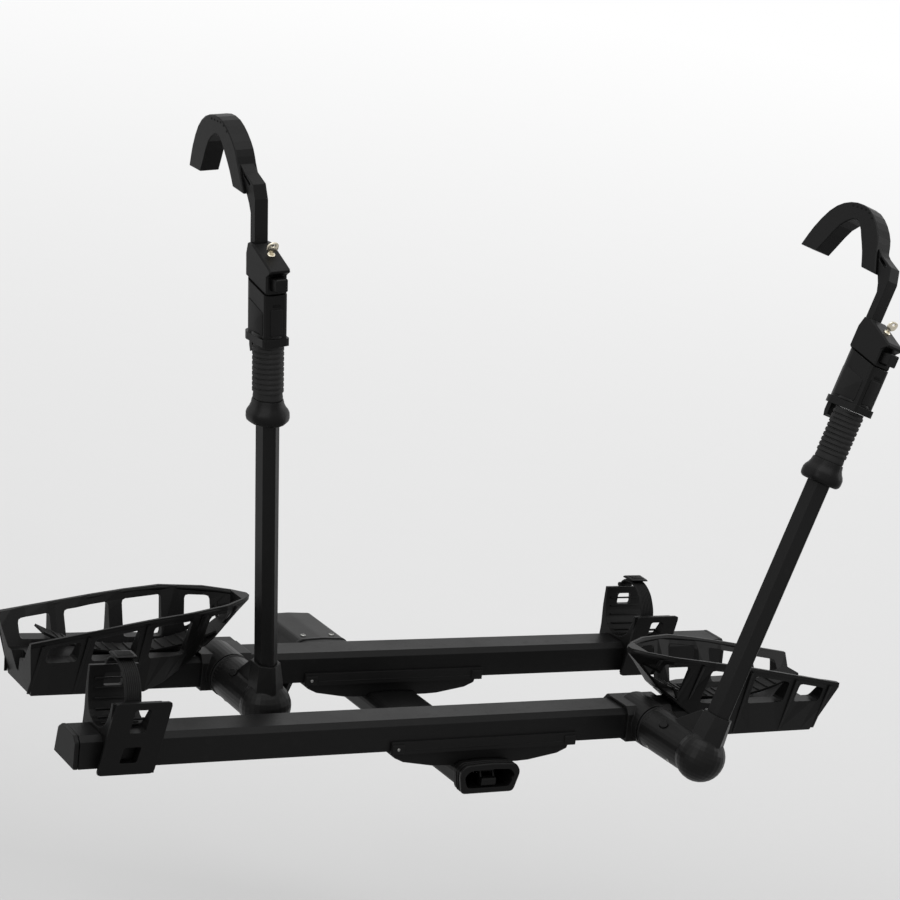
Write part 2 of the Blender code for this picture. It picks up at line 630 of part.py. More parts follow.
# ---- folding arm, drawn in its own frame: x across, y towards the wheel, z along the mast ---------
def make_elbow(shop, name, arm, bolt_span):
    seam = ARM_OFFSET - HUB_SEAM - RUNNING
    lobe = ball((0, 0, 0), ELBOW_LOBE_RADIUS, 28, 16)
    elbow = shop.part(name + "_elbow", lobe, "coated_metal", parent=arm, smooth=35)
    barrel = cylinder((0, seam / 2, 0), ELBOW_RADIUS, seam, "y", 32)
    foot = [(x * 1.9, y * 1.25, 0.0) for x, y in octagon(MAST_WIDTH, MAST_DEPTH, MAST_CORNER)]
    waist = [(x * 1.6, y * 1.22, 0.045) for x, y in octagon(MAST_WIDTH, MAST_DEPTH, MAST_CORNER)]
    rim = [(x * 1.33, y * 1.18, SOCKET_RIM) for x, y in octagon(MAST_WIDTH, MAST_DEPTH, MAST_CORNER)]
    web = [(0.0, 0.0), (0.105, 0.012), (0.075, 0.034), (0.026, SOCKET_RIM - 0.004),
           (0.0, SOCKET_RIM - 0.004)]
    shop.join(elbow, barrel, loft([foot, waist, rim]), slab([web], 0.030, plane_yz()))
    pocket = octagon(MAST_WIDTH + 2 * GAP, MAST_DEPTH + 2 * GAP, MAST_CORNER)
    bolt_end = ARM_OFFSET - HUB_SEAM + 0.010 - bolt_span - 0.001
    shop.cut(elbow, slab_between([pocket], MAST_FOOT - GAP, SOCKET_RIM + 0.02, plane_xy),
             cylinder((0, (seam + 0.01 + bolt_end) / 2, 0), HUB_BOLT_RADIUS + RUNNING,
                      seam + 0.01 - bolt_end,
                      "y", 20))
    button_angle = math.radians(133 + ARM_LEAN[name])
    way = Vector((math.cos(button_angle), 0, math.sin(button_angle)))
    turn = Matrix.Rotation(math.pi / 2 - button_angle, 4, 'Y')
    spot = Vector((0, 0.078, 0))
    place = Matrix.Translation(spot) @ turn
    reach = ELBOW_RADIUS + 0.0022
    oval = [(x, y * 1.6) for x, y in circle((0, 0), 0.0065, 16)]
    body = slab_between([oval], reach - 0.012, reach, plane_xy)
    button = shop.part(name + "_fold_button", body, "black_plastic", place, arm)
    bevelled(button, 0.0008)
    well = slab_between([[(x * 1.09, y * 1.06) for x, y in oval]], reach - 0.0165, reach + 0.01, plane_xy)
    well.transform(place)
    shop.cut(elbow, well)
    return way


def make_mast(shop, name, arm):
    outer = octagon(MAST_WIDTH, MAST_DEPTH, MAST_CORNER)
    inner = octagon(MAST_WIDTH - 2 * MAST_WALL, MAST_DEPTH - 2 * MAST_WALL, MAST_CORNER - MAST_WALL * 0.59)
    shop.part(name + "_mast", slab_between([outer, inner], MAST_FOOT, MAST_TOP, plane_xy), "coated_metal",
              parent=arm)


def mast_bore(grow=RUNNING):
    return octagon(MAST_WIDTH + 2 * grow, MAST_DEPTH + 2 * grow, MAST_CORNER)


def make_head_grip(shop, name, arm):
    """Flared collar and rubber grip at the foot of the sliding head."""
    rings = []
    for share, grow in ((0.0, 0.010), (0.16, 0.017), (0.62, 0.017), (0.85, 0.010), (1.0, 0.007)):
        section = rounded(octagon(MAST_WIDTH + 2 * grow, MAST_DEPTH + 1.6 * grow, MAST_CORNER), 0.008, 2)
        rings.append([(x, y, HEAD_FOOT + share * COLLAR_HEIGHT) for x, y in section])
    collar = shop.part(name + "_collar", loft(rings), "black_plastic", parent=arm, smooth=45)
    shop.cut(collar, slab_between([mast_bore()], HEAD_FOOT - 0.01, HEAD_FOOT + COLLAR_HEIGHT + 0.01,
                                  plane_xy))
    low = HEAD_FOOT + COLLAR_HEIGHT + GAP
    section = rounded(octagon(MAST_WIDTH + 0.014, MAST_DEPTH + 0.009, MAST_CORNER), 0.006, 2)
    shop.part(name + "_grip", slab_between([section, mast_bore()], low, low + GRIP_HEIGHT, plane_xy),
              "grip_rubber", parent=arm, smooth=45)


def sleeve_low():
    return HEAD_FOOT + COLLAR_HEIGHT + GRIP_HEIGHT + 2 * GAP


TRIGGER_WIDTH = 0.020
TRIGGER_HINGE = HEAD_TOP - 0.022
TRIGGER_FOOT = HEAD_TOP - SLEEVE_HEIGHT - 0.023


def make_sleeve(shop, name, arm):
    """Housing above the grip, with a slanted top and a slot at its back for the trigger."""
    low = sleeve_low()
    w = SLEEVE_WIDTH / 2
    outline = rounded([(-w, -SLEEVE_FRONT), (w, -SLEEVE_FRONT), (w, SLEEVE_BACK - 0.012),
                       (w - 0.007, SLEEVE_BACK), (0.007 - w,
                                                  SLEEVE_BACK), (-w, SLEEVE_BACK - 0.012)], 0.006, 2)
    top = low + SLEEVE_HEIGHT + 0.02
    sleeve = shop.part(name + "_sleeve", slab_between([outline, mast_bore()], low, top, plane_xy),
                       "black_plastic", parent=arm, smooth=45)
    ring = [(x * 1.16, y * 1.10) for x, y in outline]
    shop.join(sleeve, slab_between([ring, mast_bore()], low, low + 0.012, plane_xy))
    half = TRIGGER_WIDTH / 2 + RUNNING
    slot = box((-half, TRIGGER_INSIDE - 0.006, low - 0.01),
               (half, SLEEVE_BACK + 0.02, TRIGGER_HINGE + 0.007))
    shop.cut(sleeve, slab([lock_seam() + [(-0.08, HEAD_TOP + 0.106), (0.08, HEAD_TOP + 0.106)]], 0.08,
                          plane_yz()), slot)


TRIGGER_INSIDE = MAST_DEPTH / 2 + 0.0115    # trigger's inner face, from the mast's plane


def lock_seam():
    """Slanted joint (y, z) between sleeve and lock housing, from back to front."""
    top = sleeve_low() + SLEEVE_HEIGHT
    return [(0.08, top + 0.010), (-0.08, top - 0.026)]


def make_trigger(shop, name, arm):
    """Squeeze lever along the back of the head that frees the mast's ratchet."""
    inside, outside = TRIGGER_INSIDE, SLEEVE_BACK + 0.001
    lever = [(inside, TRIGGER_HINGE - 0.008), (outside, TRIGGER_HINGE - 0.008),
             (outside, TRIGGER_FOOT + 0.010),
             (outside - 0.003, TRIGGER_FOOT), (inside, TRIGGER_FOOT + 0.004)]
    trigger = shop.part(name + "_trigger", slab([lever], TRIGGER_WIDTH, plane_yz()), "black_plastic",
                        parent=arm)
    shop.join(trigger, cylinder((0, (inside + outside) / 2, TRIGGER_HINGE - 0.007), 0.0045, TRIGGER_WIDTH,
                                "x", 16))


def make_lock(shop, name, arm):
    """Housing that closes the head, its key, and the lock plug under its overhang."""
    seam = [Vector(p) for p in lock_seam()]
    slope = (seam[0].y - seam[1].y) / (seam[0].x - seam[1].x)

    def seam_at(y):
        return seam[1].y + (y - seam[1].x) * slope + GAP

    w = SLEEVE_WIDTH / 2 - 0.0015
    back, front = SLEEVE_BACK, -SLEEVE_FRONT
    side = [(back, seam_at(back)), (back, seam_at(back) + 0.036), (back - 0.006, HEAD_TOP + 0.056),
            (0.020, HEAD_TOP + 0.056), (front - 0.010, HEAD_TOP + 0.029), (front - 0.012, HEAD_TOP + 0.024),
            (front - 0.004, HEAD_TOP + 0.019), (front, HEAD_TOP + 0.016), (front, seam_at(front))]
    housing = shop.part(name + "_lock_housing", slab([side], 2 * w, plane_yz()), "black_plastic",
                        parent=arm,
                        smooth=30)
    bevelled(housing, 0.0025)
    neck_hole = rectangle(-NECK_WIDTH / 2 - GAP, NECK_Y - NECK_DEPTH / 2 - GAP, NECK_WIDTH / 2 + GAP,
                          NECK_Y + NECK_DEPTH / 2 + GAP)
    ceiling = HEAD_TOP + 0.022
    shop.cut(housing, slab_between([mast_bore(0.0002)], sleeve_low(), ceiling, plane_xy),
             slab_between([neck_hole], NECK_FOOT - GAP, HEAD_TOP + 0.106, plane_xy))
    fall = math.atan2(0.028, 0.064)
    place = Matrix.Translation((0.001, -0.006, HEAD_TOP + 0.0446)) @ Matrix.Rotation(fall, 4, 'X')
    core_depth = 0.014
    key = shop.part(name + "_key", cylinder((0, 0, -core_depth / 2 + 0.001), 0.0065, core_depth, "z", 20),
                    "brass", place, arm)
    blade = slab_between([rounded([(-0.0075, 0.002), (0.0075, 0.002), (0.0095, 0.017), (0.003, 0.022),
                                   (-0.003, 0.022), (-0.0095, 0.017)], 0.003, 2)], -0.001, 0.001, plane_xz)
    shop.join(key, blade, box((-0.003, -0.001, 0.0), (0.003, 0.001, 0.006)))
    well = cylinder((0, 0, 0), 0.0065 + GAP, 2 * core_depth + 0.001, "z", 20)
    well.transform(place)
    plug_seat = box((-0.0105, front - 0.031, PLUG_LOW - RUNNING),
                    (0.0105, front + 0.0028, PLUG_LOW + PLUG_HEIGHT + RUNNING))
    shop.cut(housing, well, plug_seat)
    plug = shop.part(name + "_lock_plug", box((-0.010, front - 0.018, PLUG_LOW),
                                              (0.010, front + 0.0025, PLUG_LOW + PLUG_HEIGHT)),
                     "black_plastic", parent=arm)
    bevelled(plug, 0.0015)


PLUG_LOW = HEAD_TOP - 0.005
PLUG_HEIGHT = 0.020
NECK_FOOT = HEAD_TOP + 0.0135


def make_hook_neck(shop, name, arm):
    """Flat bar that rises behind the lock and bends out to the hook, with a slotted web."""
    back, front = NECK_Y + NECK_DEPTH / 2, NECK_Y - NECK_DEPTH / 2
    upper = [(front, HOOK_HEEL - 0.003), (front + 0.008, HOOK_HEEL + 0.019),
             (HOOK_SEAM_Y - 0.015, HOOK_SEAM - 0.010), (HOOK_SEAM_Y - 2 * GAP, HOOK_SEAM)]
    lower = [(HOOK_HEEL_Y - 2 * GAP, HOOK_HEEL), (back + 0.006, HOOK_HEEL - 0.012),
             (back, HOOK_HEEL - 0.026)]
    outline = [(front, NECK_FOOT)] + upper + lower + [(back, NECK_FOOT)]
    web = Vector((HOOK_SEAM_Y - HOOK_HEEL_Y, 0.012))
    start = Vector((HOOK_HEEL_Y - 0.012, HOOK_HEEL + 0.016))
    slot = rounded(band([start, start + web], 0.005), 0.002, 2)
    neck = shop.part(name + "_hook_neck", slab([outline, slot], NECK_WIDTH, plane_yz()), "coated_steel",
                     parent=arm)
    bevelled(neck, 0.0015)


def make_hook(shop, name, arm):
    """Plastic hook whose arch goes over the tyre."""
    heel, seam, tip, top = HOOK_HEEL_Y, HOOK_SEAM_Y, HOOK_TIP_Y, HOOK_CROWN
    outer = smooth_path([(seam, HOOK_SEAM), (seam + 0.009, top - 0.041), (seam + 0.029, top - 0.020),
                         (seam + 0.056, top - 0.004), (tip - 0.092, top), (tip - 0.060, top - 0.007),
                         (tip - 0.034, top - 0.026), (tip - 0.013, top - 0.060), (tip, top - 0.095)], 2)
    inner = smooth_path([(tip - 0.043, top - 0.097), (tip - 0.054, top - 0.077), (tip - 0.073, top - 0.045),
                         (tip - 0.098, top - 0.028), (tip - 0.116,
                                                      top - 0.032), (heel + 0.068, top - 0.053),
                         (heel + 0.052, top - 0.075), (heel + 0.039, HOOK_HEEL + 0.004)], 2)
    outline = [tuple(p) for p in outer + inner] + [(heel, HOOK_HEEL)]
    hook = shop.part(name + "_hook", slab([outline], HOOK_WIDTH, plane_yz()), "black_plastic", parent=arm,
                     smooth=40)
    bevelled(hook, 0.0035)


def make_arm(shop, name):
    place = Matrix.Translation(hub_centre(name, ARM_OFFSET)) @ Matrix.Rotation(math.radians(ARM_LEAN[name]), 4, 'Y')
    arm = shop.empty(name + "_arm_axis", place)
    head = shop.empty(name + "_head_axis", place @ Matrix.Translation((0, 0, HEAD_DRAW[name])))
    bolt_span = make_hub(shop, name)
    make_elbow(shop, name, arm, bolt_span)
    make_mast(shop, name, arm)
    for make in (make_head_grip, make_sleeve, make_trigger, make_lock, make_hook_neck, make_hook):
        make(shop, name, head)


# ---- wheel tray ----------------------------------------------------------------------------------
def ease(value, points):
    """Smooth value between (position, value) pairs."""
    for (x0, y0), (x1, y1) in zip(points, points[1:]):
        if value <= x1:
            t = max(0.0, (value - x0) / (x1 - x0))
            return y0 + (y1 - y0) * t
    return points[-1][1]


TRAY_RIM_WIDTH = [(0.0, 0.006), (0.02, 0.026), (0.06, 0.052), (0.13, 0.073), (0.22, 0.077), (0.405, 0.080)]
TRAY_RIM_Z = [(0.0, 0.147), (0.06, 0.145), (0.13, 0.141), (0.21, 0.131), (0.31, 0.114), (0.405, 0.098)]
TRAY_BASE_WIDTH = [(0.0, 0.003), (0.06, 0.020), (0.13, 0.042), (0.19, 0.052), (0.405, 0.052)]
TRAY_BASE_Z = [(0.0, 0.136), (0.02, 0.118), (0.06, 0.078), (0.11, 0.045), (0.155, 0.014), (0.19, 0.001),
               (0.405, 0.001)]
TRAY_STATIONS = [0.0, 0.02, 0.06, 0.10, 0.13, 0.155, 0.19, 0.25, 0.31, 0.36, 0.405]


def tray_place(name):
    """Tray frame: x from the nose outwards, y across, z above the rail's underside."""
    side = ARM_SIDE[name]
    return Matrix.Translation((side * TRAY_NOSE, RAIL_Y[name], RAIL_BASE_Z)) @ Matrix.Rotation(
        0 if side > 0 else math.pi, 4, 'Z')


def tray_ring(x, lean=0.0):
    w, z = ease(x, TRAY_RIM_WIDTH), ease(x, TRAY_RIM_Z)
    b, low = ease(x, TRAY_BASE_WIDTH), ease(x, TRAY_BASE_Z)
    end = TRAY_END - TRAY_NOSE
    foot = x - (0.022 if x > end - 0.001 else 0.0)
    return [(foot, -b, low), (foot, b, low), (x, w, z - 0.008), (x, w, z), (x, -w, z), (x, -w, z - 0.008)]


def tray_trough():
    """The space inside the tray, flat-floored over the rail."""
    rings = []
    for x in (0.022, 0.06, 0.10, 0.13, 0.19, 0.25, 0.31, 0.36, 0.43):
        w, z = ease(x, TRAY_RIM_WIDTH) - TRAY_WALL, ease(x, TRAY_RIM_Z)
        floor = max(RAIL_HEIGHT + 0.005, ease(x, TRAY_BASE_Z) + TRAY_WALL)
        half = min(0.034, w * 0.62)
        lift = 0.02
        spread = (w - half) / (z - floor)
        rings.append([(x, -half, floor), (x, half, floor), (x, w + lift * spread, z + lift),
                      (x, -w - lift * spread, z + lift)])
    return loft(rings)


TRAY_WINDOWS = [(0.050, 0.090), (0.128, 0.196), (0.220, 0.296), (0.320, 0.374)]


def tray_windows():
    """Openings through both side walls, between the ribs."""
    cutters = []
    for start, end in TRAY_WINDOWS:
        lows = [max(0.062, ease(x, TRAY_BASE_Z) + 0.018) for x in (start, end)]
        rims = [ease(x, TRAY_RIM_Z) - 0.014 for x in (start, end)]
        shape = [(start, lows[0]), (end, lows[1]), (end, rims[1]), (start, rims[0])]
        cutters.append(slab([rounded(shape, 0.006, 2)], 0.25, plane_xz()))
    return cutters


def tray_notch():
    """V-shaped cut in the outer end, beyond the rail."""
    start = RAIL_TRAY_END - TRAY_NOSE + 0.007
    notch = [(-0.004, 0.026), (0.004, 0.026), (0.060, 0.130), (-0.060, 0.130)]
    return slab_between([notch], start, start + 0.06, plane_yz)


def make_tray(shop, name):
    place = tray_place(name)
    tray = shop.part(name + "_wheel_tray", loft([tray_ring(x) for x in TRAY_STATIONS]), "black_plastic",
                     place,
                     smooth=35)
    bore = slab_between([rail_section(GAP)], -0.05, RAIL_TRAY_END - TRAY_NOSE + 0.001, plane_yz)
    shop.cut(tray, tray_trough(), tray_notch(), bore, *tray_windows())
    hub_reach = HUB_X - TRAY_NOSE + HUB_SLEEVE / 2 + 0.001
    shop.cut(tray, box((-0.02, -HUB_SEAM - 0.002, -0.03), (hub_reach, 0.05, 0.066)))
    seat_low = RAIL_HEIGHT + 0.005 + 0.0015
    centre = (SEAT_CENTRE - TRAY_NOSE, seat_low + SEAT_RADIUS)
    start, end = 0.058, 0.362
    angles = [math.degrees(math.asin((x - centre[0]) / SEAT_RADIUS)) - 90 for x in (start, end)]
    outer = arc(centre, SEAT_RADIUS, angles[0], angles[1], 12)
    inner = arc(centre, SEAT_RADIUS - SEAT_THICKNESS, angles[1], angles[0], 12)
    shop.part(name + "_tyre_seat", slab([outer + inner], 0.040, plane_xz()), "black_plastic", place,
              smooth=40)


# ---- strap cradle, drawn from its middle on the rail: x along, y across, z above the underside ----
CRADLE_BASE = -0.006


def cradle_outline():
    side, grip = CRADLE_SIDE, RAIL_BASE_WIDTH / 2 + RUNNING
    bore = rail_section(RUNNING)
    near = [(-grip + 0.006, CRADLE_BASE), (-side, CRADLE_BASE), (-side, CRADLE_PLATE_TOP),
            (-side + 0.006, CRADLE_PLATE_TOP)]
    lap = [tuple(p) for p in smooth_path([(-side + 0.007, 0.092), (-0.034, 0.068), (-0.014, 0.0555),
                                          (0.010, 0.0545),
                                          (0.030, 0.066), (0.040,
                                                           0.088), (0.0445,
                                                                    0.110), (0.0465, CRADLE_WING_TOP)], 2)]
    far = [(0.0525, CRADLE_WING_TOP), (0.0515, 0.095), (side - 0.005, 0.060), (side - 0.005, CRADLE_BASE),
           (grip - 0.006, CRADLE_BASE)]
    hold = [(grip - 0.006, -RUNNING), bore[1], bore[2], bore[3], bore[4], bore[5], bore[0],
            (-grip + 0.006, -RUNNING)]
    return near + lap + far + hold


STRAP_AXIS = (0.0495, CRADLE_WING_TOP + 0.0045)


def strap_path():
    return smooth_path([STRAP_AXIS, (0.034, 0.147), (0.010, 0.148), (-0.013, 0.136), (-0.028, 0.115),
                        (-0.034, 0.097)],
                       3)


def make_cradle(shop, name):
    x = -ARM_SIDE[name] * CRADLE_X[name]
    place = Matrix.Translation((x, RAIL_Y[name], RAIL_BASE_Z))
    cradle = shop.part(name + "_cradle", slab([cradle_outline()[::-1]], CRADLE_LENGTH, plane_yz()),
                       "black_plastic",
                       place, smooth=35)
    face = [(-0.053, CRADLE_BASE + 0.001), (0.038, CRADLE_BASE + 0.001), (0.055, CRADLE_PLATE_TOP + 0.001),
            (-0.036, CRADLE_PLATE_TOP + 0.001)]
    shop.join(cradle, slab_between([rounded(face, 0.006, 2)], -CRADLE_SIDE - 0.004, -CRADLE_SIDE + 0.001,
                                   plane_xz))
    upper = rounded([(-0.010, 0.060), (0.016, 0.060), (0.022, 0.096), (-0.004, 0.096)], 0.004, 2)
    lower = rounded([(-0.020, 0.013), (0.008, 0.013), (0.013, 0.038), (-0.015, 0.038)], 0.003, 2)
    window = rounded([(-0.016, 0.098), (0.016, 0.098), (0.014, 0.118), (-0.014, 0.118)], 0.004, 2)
    shop.cut(cradle, slab_between([upper], -CRADLE_SIDE - 0.01, -0.030, plane_xz),
             slab_between([lower], -CRADLE_SIDE - 0.01, -0.030, plane_xz),
             slab_between([window], 0.030, CRADLE_SIDE + 0.02, plane_xz))
    strap = shop.part(name + "_strap", slab([band(strap_path(), STRAP_THICKNESS)], STRAP_WIDTH, plane_yz()),
                      "strap_rubber", place, smooth=40)
    shop.join(strap, cylinder((0, *STRAP_AXIS), 0.0038, STRAP_WIDTH + 0.002, "x", 14))
    top = [(0.038, 0.1520), (0.034, 0.1572), (0.012, 0.1565), (0.004, 0.1526), (0.008, 0.1516)]
    shop.part(name + "_buckle", slab([rounded(top, 0.001, 1)], STRAP_WIDTH + 0.006, plane_yz()),
              "black_plastic",
              place)


# ---- the rack ------------------------------------------------------------------------------------
def main():
    clear_scene()
    shop = Workshop()
    make_shank(shop)
    make_bracket(shop)
    make_pivot_bolt(shop)
    make_tension_drive(shop)
    make_spine_tube(shop)
    make_spine_head(shop)
    make_bezel(shop)
    make_tilt_release(shop)
    for name in ("front", "rear"):
        make_clamp(shop, name)
        make_rail(shop, name)
        make_arm(shop, name)
        make_tray(shop, name)
        make_cradle(shop, name)


if __name__ == "__main__":
    main()
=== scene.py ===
import json
import math

import bmesh
import bpy
from mathutils import Matrix, Vector


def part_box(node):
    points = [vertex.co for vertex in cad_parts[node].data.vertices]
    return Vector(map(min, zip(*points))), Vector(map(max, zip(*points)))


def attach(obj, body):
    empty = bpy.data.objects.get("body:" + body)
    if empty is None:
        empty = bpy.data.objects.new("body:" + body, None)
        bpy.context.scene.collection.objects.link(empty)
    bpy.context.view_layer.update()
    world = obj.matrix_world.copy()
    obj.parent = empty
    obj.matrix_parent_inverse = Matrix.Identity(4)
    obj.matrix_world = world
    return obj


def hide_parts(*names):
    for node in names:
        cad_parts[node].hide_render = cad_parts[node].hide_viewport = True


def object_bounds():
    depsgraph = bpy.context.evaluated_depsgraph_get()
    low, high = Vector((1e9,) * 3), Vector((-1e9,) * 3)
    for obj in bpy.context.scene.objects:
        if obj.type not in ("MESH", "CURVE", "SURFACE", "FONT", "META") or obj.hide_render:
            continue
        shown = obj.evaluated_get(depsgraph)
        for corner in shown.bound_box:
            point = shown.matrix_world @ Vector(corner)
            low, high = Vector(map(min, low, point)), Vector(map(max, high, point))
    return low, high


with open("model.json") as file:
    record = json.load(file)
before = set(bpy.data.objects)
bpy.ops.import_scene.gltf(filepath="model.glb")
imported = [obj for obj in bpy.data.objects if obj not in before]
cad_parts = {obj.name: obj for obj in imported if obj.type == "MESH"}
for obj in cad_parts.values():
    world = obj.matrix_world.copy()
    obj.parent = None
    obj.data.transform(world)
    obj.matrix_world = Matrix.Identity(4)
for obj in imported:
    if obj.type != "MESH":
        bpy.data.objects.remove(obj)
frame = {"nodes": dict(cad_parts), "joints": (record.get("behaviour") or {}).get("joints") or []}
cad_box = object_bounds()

bl_info = {
    "name": "Hitch bike rack finisher",
    "version": (1, 0, 0),
    "blender": (4, 5, 0),
    "location": "View3D > Sidebar > Bike rack",
    "description": "Builds the finished look of a hitch mounted bike rack around its packed model",
    "category": "Object",
}

SIDES = ("front", "rear")
VIEW_DIRECTION, VIEW_DISTANCE = (0.536, 0.844), 4.44    # how the painted shade on the floor runs away from the near edge
FLOOR_SHADED_NEAR, FLOOR_LIT_FAR = 0.46, 1.0
FLOOR_START, FLOOR_FALL = 1.118, 5.25
CAMERA_PLACE, CAMERA_LENS, CAMERA_SENSOR = (-2.0809, -3.9417, 1.5351), 96.07, 36    # metres, mm, mm
JOINTS = {joint["name"]: joint for joint in frame["joints"]}
NODES = frame["nodes"]


# ---- shader maths --------------------------------------------------------------------------------
class Shade:
    """Builds one material's nodes."""

    def __init__(self, name):
        self.material = bpy.data.materials.new(name)
        self.material.use_nodes = True
        self.tree = self.material.node_tree
        self.shader = self.tree.nodes["Principled BSDF"]

    def node(self, kind, settings=None, **sockets):
        """A node of that type: settings first, then the values or links of its sockets."""
        made = self.tree.nodes.new(kind)
        for key, value in (settings or {}).items():
            if key == "stops":
                ramp = made.color_ramp
                while len(ramp.elements) < len(value):
                    ramp.elements.new(0.5)
                for element, (place, level) in zip(ramp.elements, value):
                    element.position = place
                    element.color = (level, level, level, 1)
            else:
                setattr(made, key, value)
        for key, value in sockets.items():
            self.feed(made.inputs[key.replace("_", " ")], value)
        return made

    def feed(self, socket, value):
        if isinstance(value, Value):
            self.tree.links.new(value.socket, socket)
        elif isinstance(value, bpy.types.NodeSocket):
            self.tree.links.new(value, socket)
        else:
            socket.default_value = value

    def value(self, socket):
        return Value(self, socket)

    def place(self):
        return self.node("ShaderNodeTexCoord").outputs["Object"]

    def noise(self, scale, detail=3.0, roughness=0.5, stretch=None):
        where = self.place()
        if stretch:
            where = self.node("ShaderNodeMapping", None, Vector=where, Scale=stretch).outputs["Vector"]
        made = self.node("ShaderNodeTexNoise", None, Vector=where, Scale=scale, Detail=detail,
                         Roughness=roughness)
        return self.value(made.outputs["Fac"])

    def ramp(self, value, stops):
        return self.value(self.node("ShaderNodeValToRGB", {"stops": stops}, Fac=value).outputs["Color"])

    def mix(self, share, first, second):
        made = self.node("ShaderNodeMix", {"data_type": "RGBA"})
        self.feed(made.inputs[0], share)
        self.feed(made.inputs[6], first)
        self.feed(made.inputs[7], second)
        return made.outputs[2]

    def edge(self, radius):
        """Normals rounded over sharp edges."""
        return self.node("ShaderNodeBevel", {"samples": 6}, Radius=radius).outputs["Normal"]

    def bump(self, height, distance, strength=1.0, edge=None):
        made = self.node("ShaderNodeBump", None, Height=height, Distance=distance, Strength=strength)
        if edge:
            self.feed(made.inputs["Normal"], self.edge(edge))
        self.feed(self.shader.inputs["Normal"], made.outputs["Normal"])

    def finish(self, **sockets):
        for key, value in sockets.items():
            self.feed(self.shader.inputs[key.replace("_", " ")], value)
        return self.material


class Value:
    """A socket that can be used in an expression."""

    def __init__(self, shade, socket):
        self.shade, self.socket = shade, socket

    def maths(self, operation, first, second):
        made = self.shade.node("ShaderNodeMath", {"operation": operation})
        self.shade.feed(made.inputs[0], first)
        self.shade.feed(made.inputs[1], second)
        return Value(self.shade, made.outputs[0])

    def __add__(self, other):
        return self.maths("ADD", self, other)

    def __sub__(self, other):
        return self.maths("SUBTRACT", self, other)

    def __rsub__(self, other):
        return self.maths("SUBTRACT", other, self)

    def __mul__(self, other):
        return self.maths("MULTIPLY", self, other)

    def __rtruediv__(self, other):
        return self.maths("DIVIDE", other, self)

    __radd__ = __add__
    __rmul__ = __mul__


def grey(level, warm=0.0):
    return (level * (1 + warm), level, level * (1 - warm), 1)


def powder_coat():
    """Satin black coat: fine orange peel, faint dust and rubbed patches."""
    make = Shade("powder_coat")
    peel = make.noise(950, 2.0)
    cloud = make.noise(9, 4.0, 0.6)
    dust = make.ramp(make.noise(55, 5.0, 0.7), [(0.55, 0.0), (0.80, 1.0)])
    make.bump(peel * 0.7 + cloud * 0.3, 0.00022, 0.55, 0.0012)
    colour = make.mix(dust * 0.25, grey(0.0026), grey(0.010, 0.03))
    return make.finish(Base_Color=colour, Roughness=0.33 + cloud * 0.16 + dust * 0.10,
                       Specular_IOR_Level=0.11)


def cast_coat():
    """Coated casting, a little rougher than the tubes."""
    make = Shade("cast_coat")
    skin = make.noise(420, 3.0)
    cloud = make.noise(14, 4.0)
    make.bump(skin, 0.00035, 0.5, 0.0020)
    return make.finish(Base_Color=make.mix(cloud, grey(0.0028), grey(0.0050, 0.02)),
                       Roughness=0.30 + cloud * 0.16,
                       Specular_IOR_Level=0.11)


def moulded_plastic(name, level, roughness, grain=700):
    """Glass-filled plastic with a fine moulded grain."""
    make = Shade(name)
    texture = make.noise(grain, 2.5, 0.6)
    flow = make.noise(16, 3.0, stretch=(1, 1, 0.3))
    scuff = make.ramp(make.noise(120, 6.0, 0.75), [(0.62, 0.0), (0.78, 1.0)])
    make.bump(texture + flow * 0.2, 0.00025, 0.6, 0.0014)
    colour = make.mix(flow * 0.6 + scuff * 0.25, grey(level * 0.8), grey(level * 1.5, 0.02))
    return make.finish(Base_Color=colour, Roughness=roughness + texture * 0.08 + scuff * 0.08,
                       Specular_IOR_Level=0.11)


def rubber(name, level):
    make = Shade(name)
    texture = make.noise(1200, 2.0)
    bloom = make.noise(40, 4.0)
    make.bump(texture, 0.0002, 0.5, 0.0008)
    return make.finish(Base_Color=make.mix(bloom, grey(level * 0.85), grey(level * 1.2, 0.01)),
                       Roughness=0.55 + bloom * 0.14, Specular_IOR_Level=0.13)


def plated_metal(name, colour, roughness):
    make = Shade(name)
    brushed = make.noise(300, 3.0, stretch=(1, 1, 12))
    tarnish = make.noise(70, 5.0, 0.65)
    make.bump(brushed, 0.00005, 0.4, 0.0004)
    dark = tuple(c * 0.72 for c in colour)
    return make.finish(Base_Color=make.mix(tarnish, (*dark, 1), (*colour, 1)), Metallic=1.0,
                       Roughness=roughness + tarnish * 0.12)


def floor_painted_shade():
    """Pale paper with painted shade: light grey near the object, close to white far behind it."""
    make = Shade("studio_floor")
    parts = make.node("ShaderNodeSeparateXYZ", None, Vector=make.place())
    across, along = make.value(parts.outputs["X"]), make.value(parts.outputs["Y"])
    reach = across * VIEW_DIRECTION[0] + along * VIEW_DIRECTION[1] + VIEW_DISTANCE
    nearness = 1.0 / reach
    speck = make.noise(3, 2.0)
    # painted shade: the floor's colour darkens from white far off to light grey near the object, standing in
    # for the light's fall-off
    share = make.ramp(FLOOR_START - nearness * FLOOR_FALL + speck * 0.01, [(0.0, 0.0), (1.0, 1.0)])
    make.bump(speck, 0.001, 0.05)
    colour = make.mix(share, grey(FLOOR_SHADED_NEAR), grey(FLOOR_LIT_FAR))
    return make.finish(Base_Color=colour, Roughness=0.95, Specular_IOR_Level=0.0)


LOOKS = {}


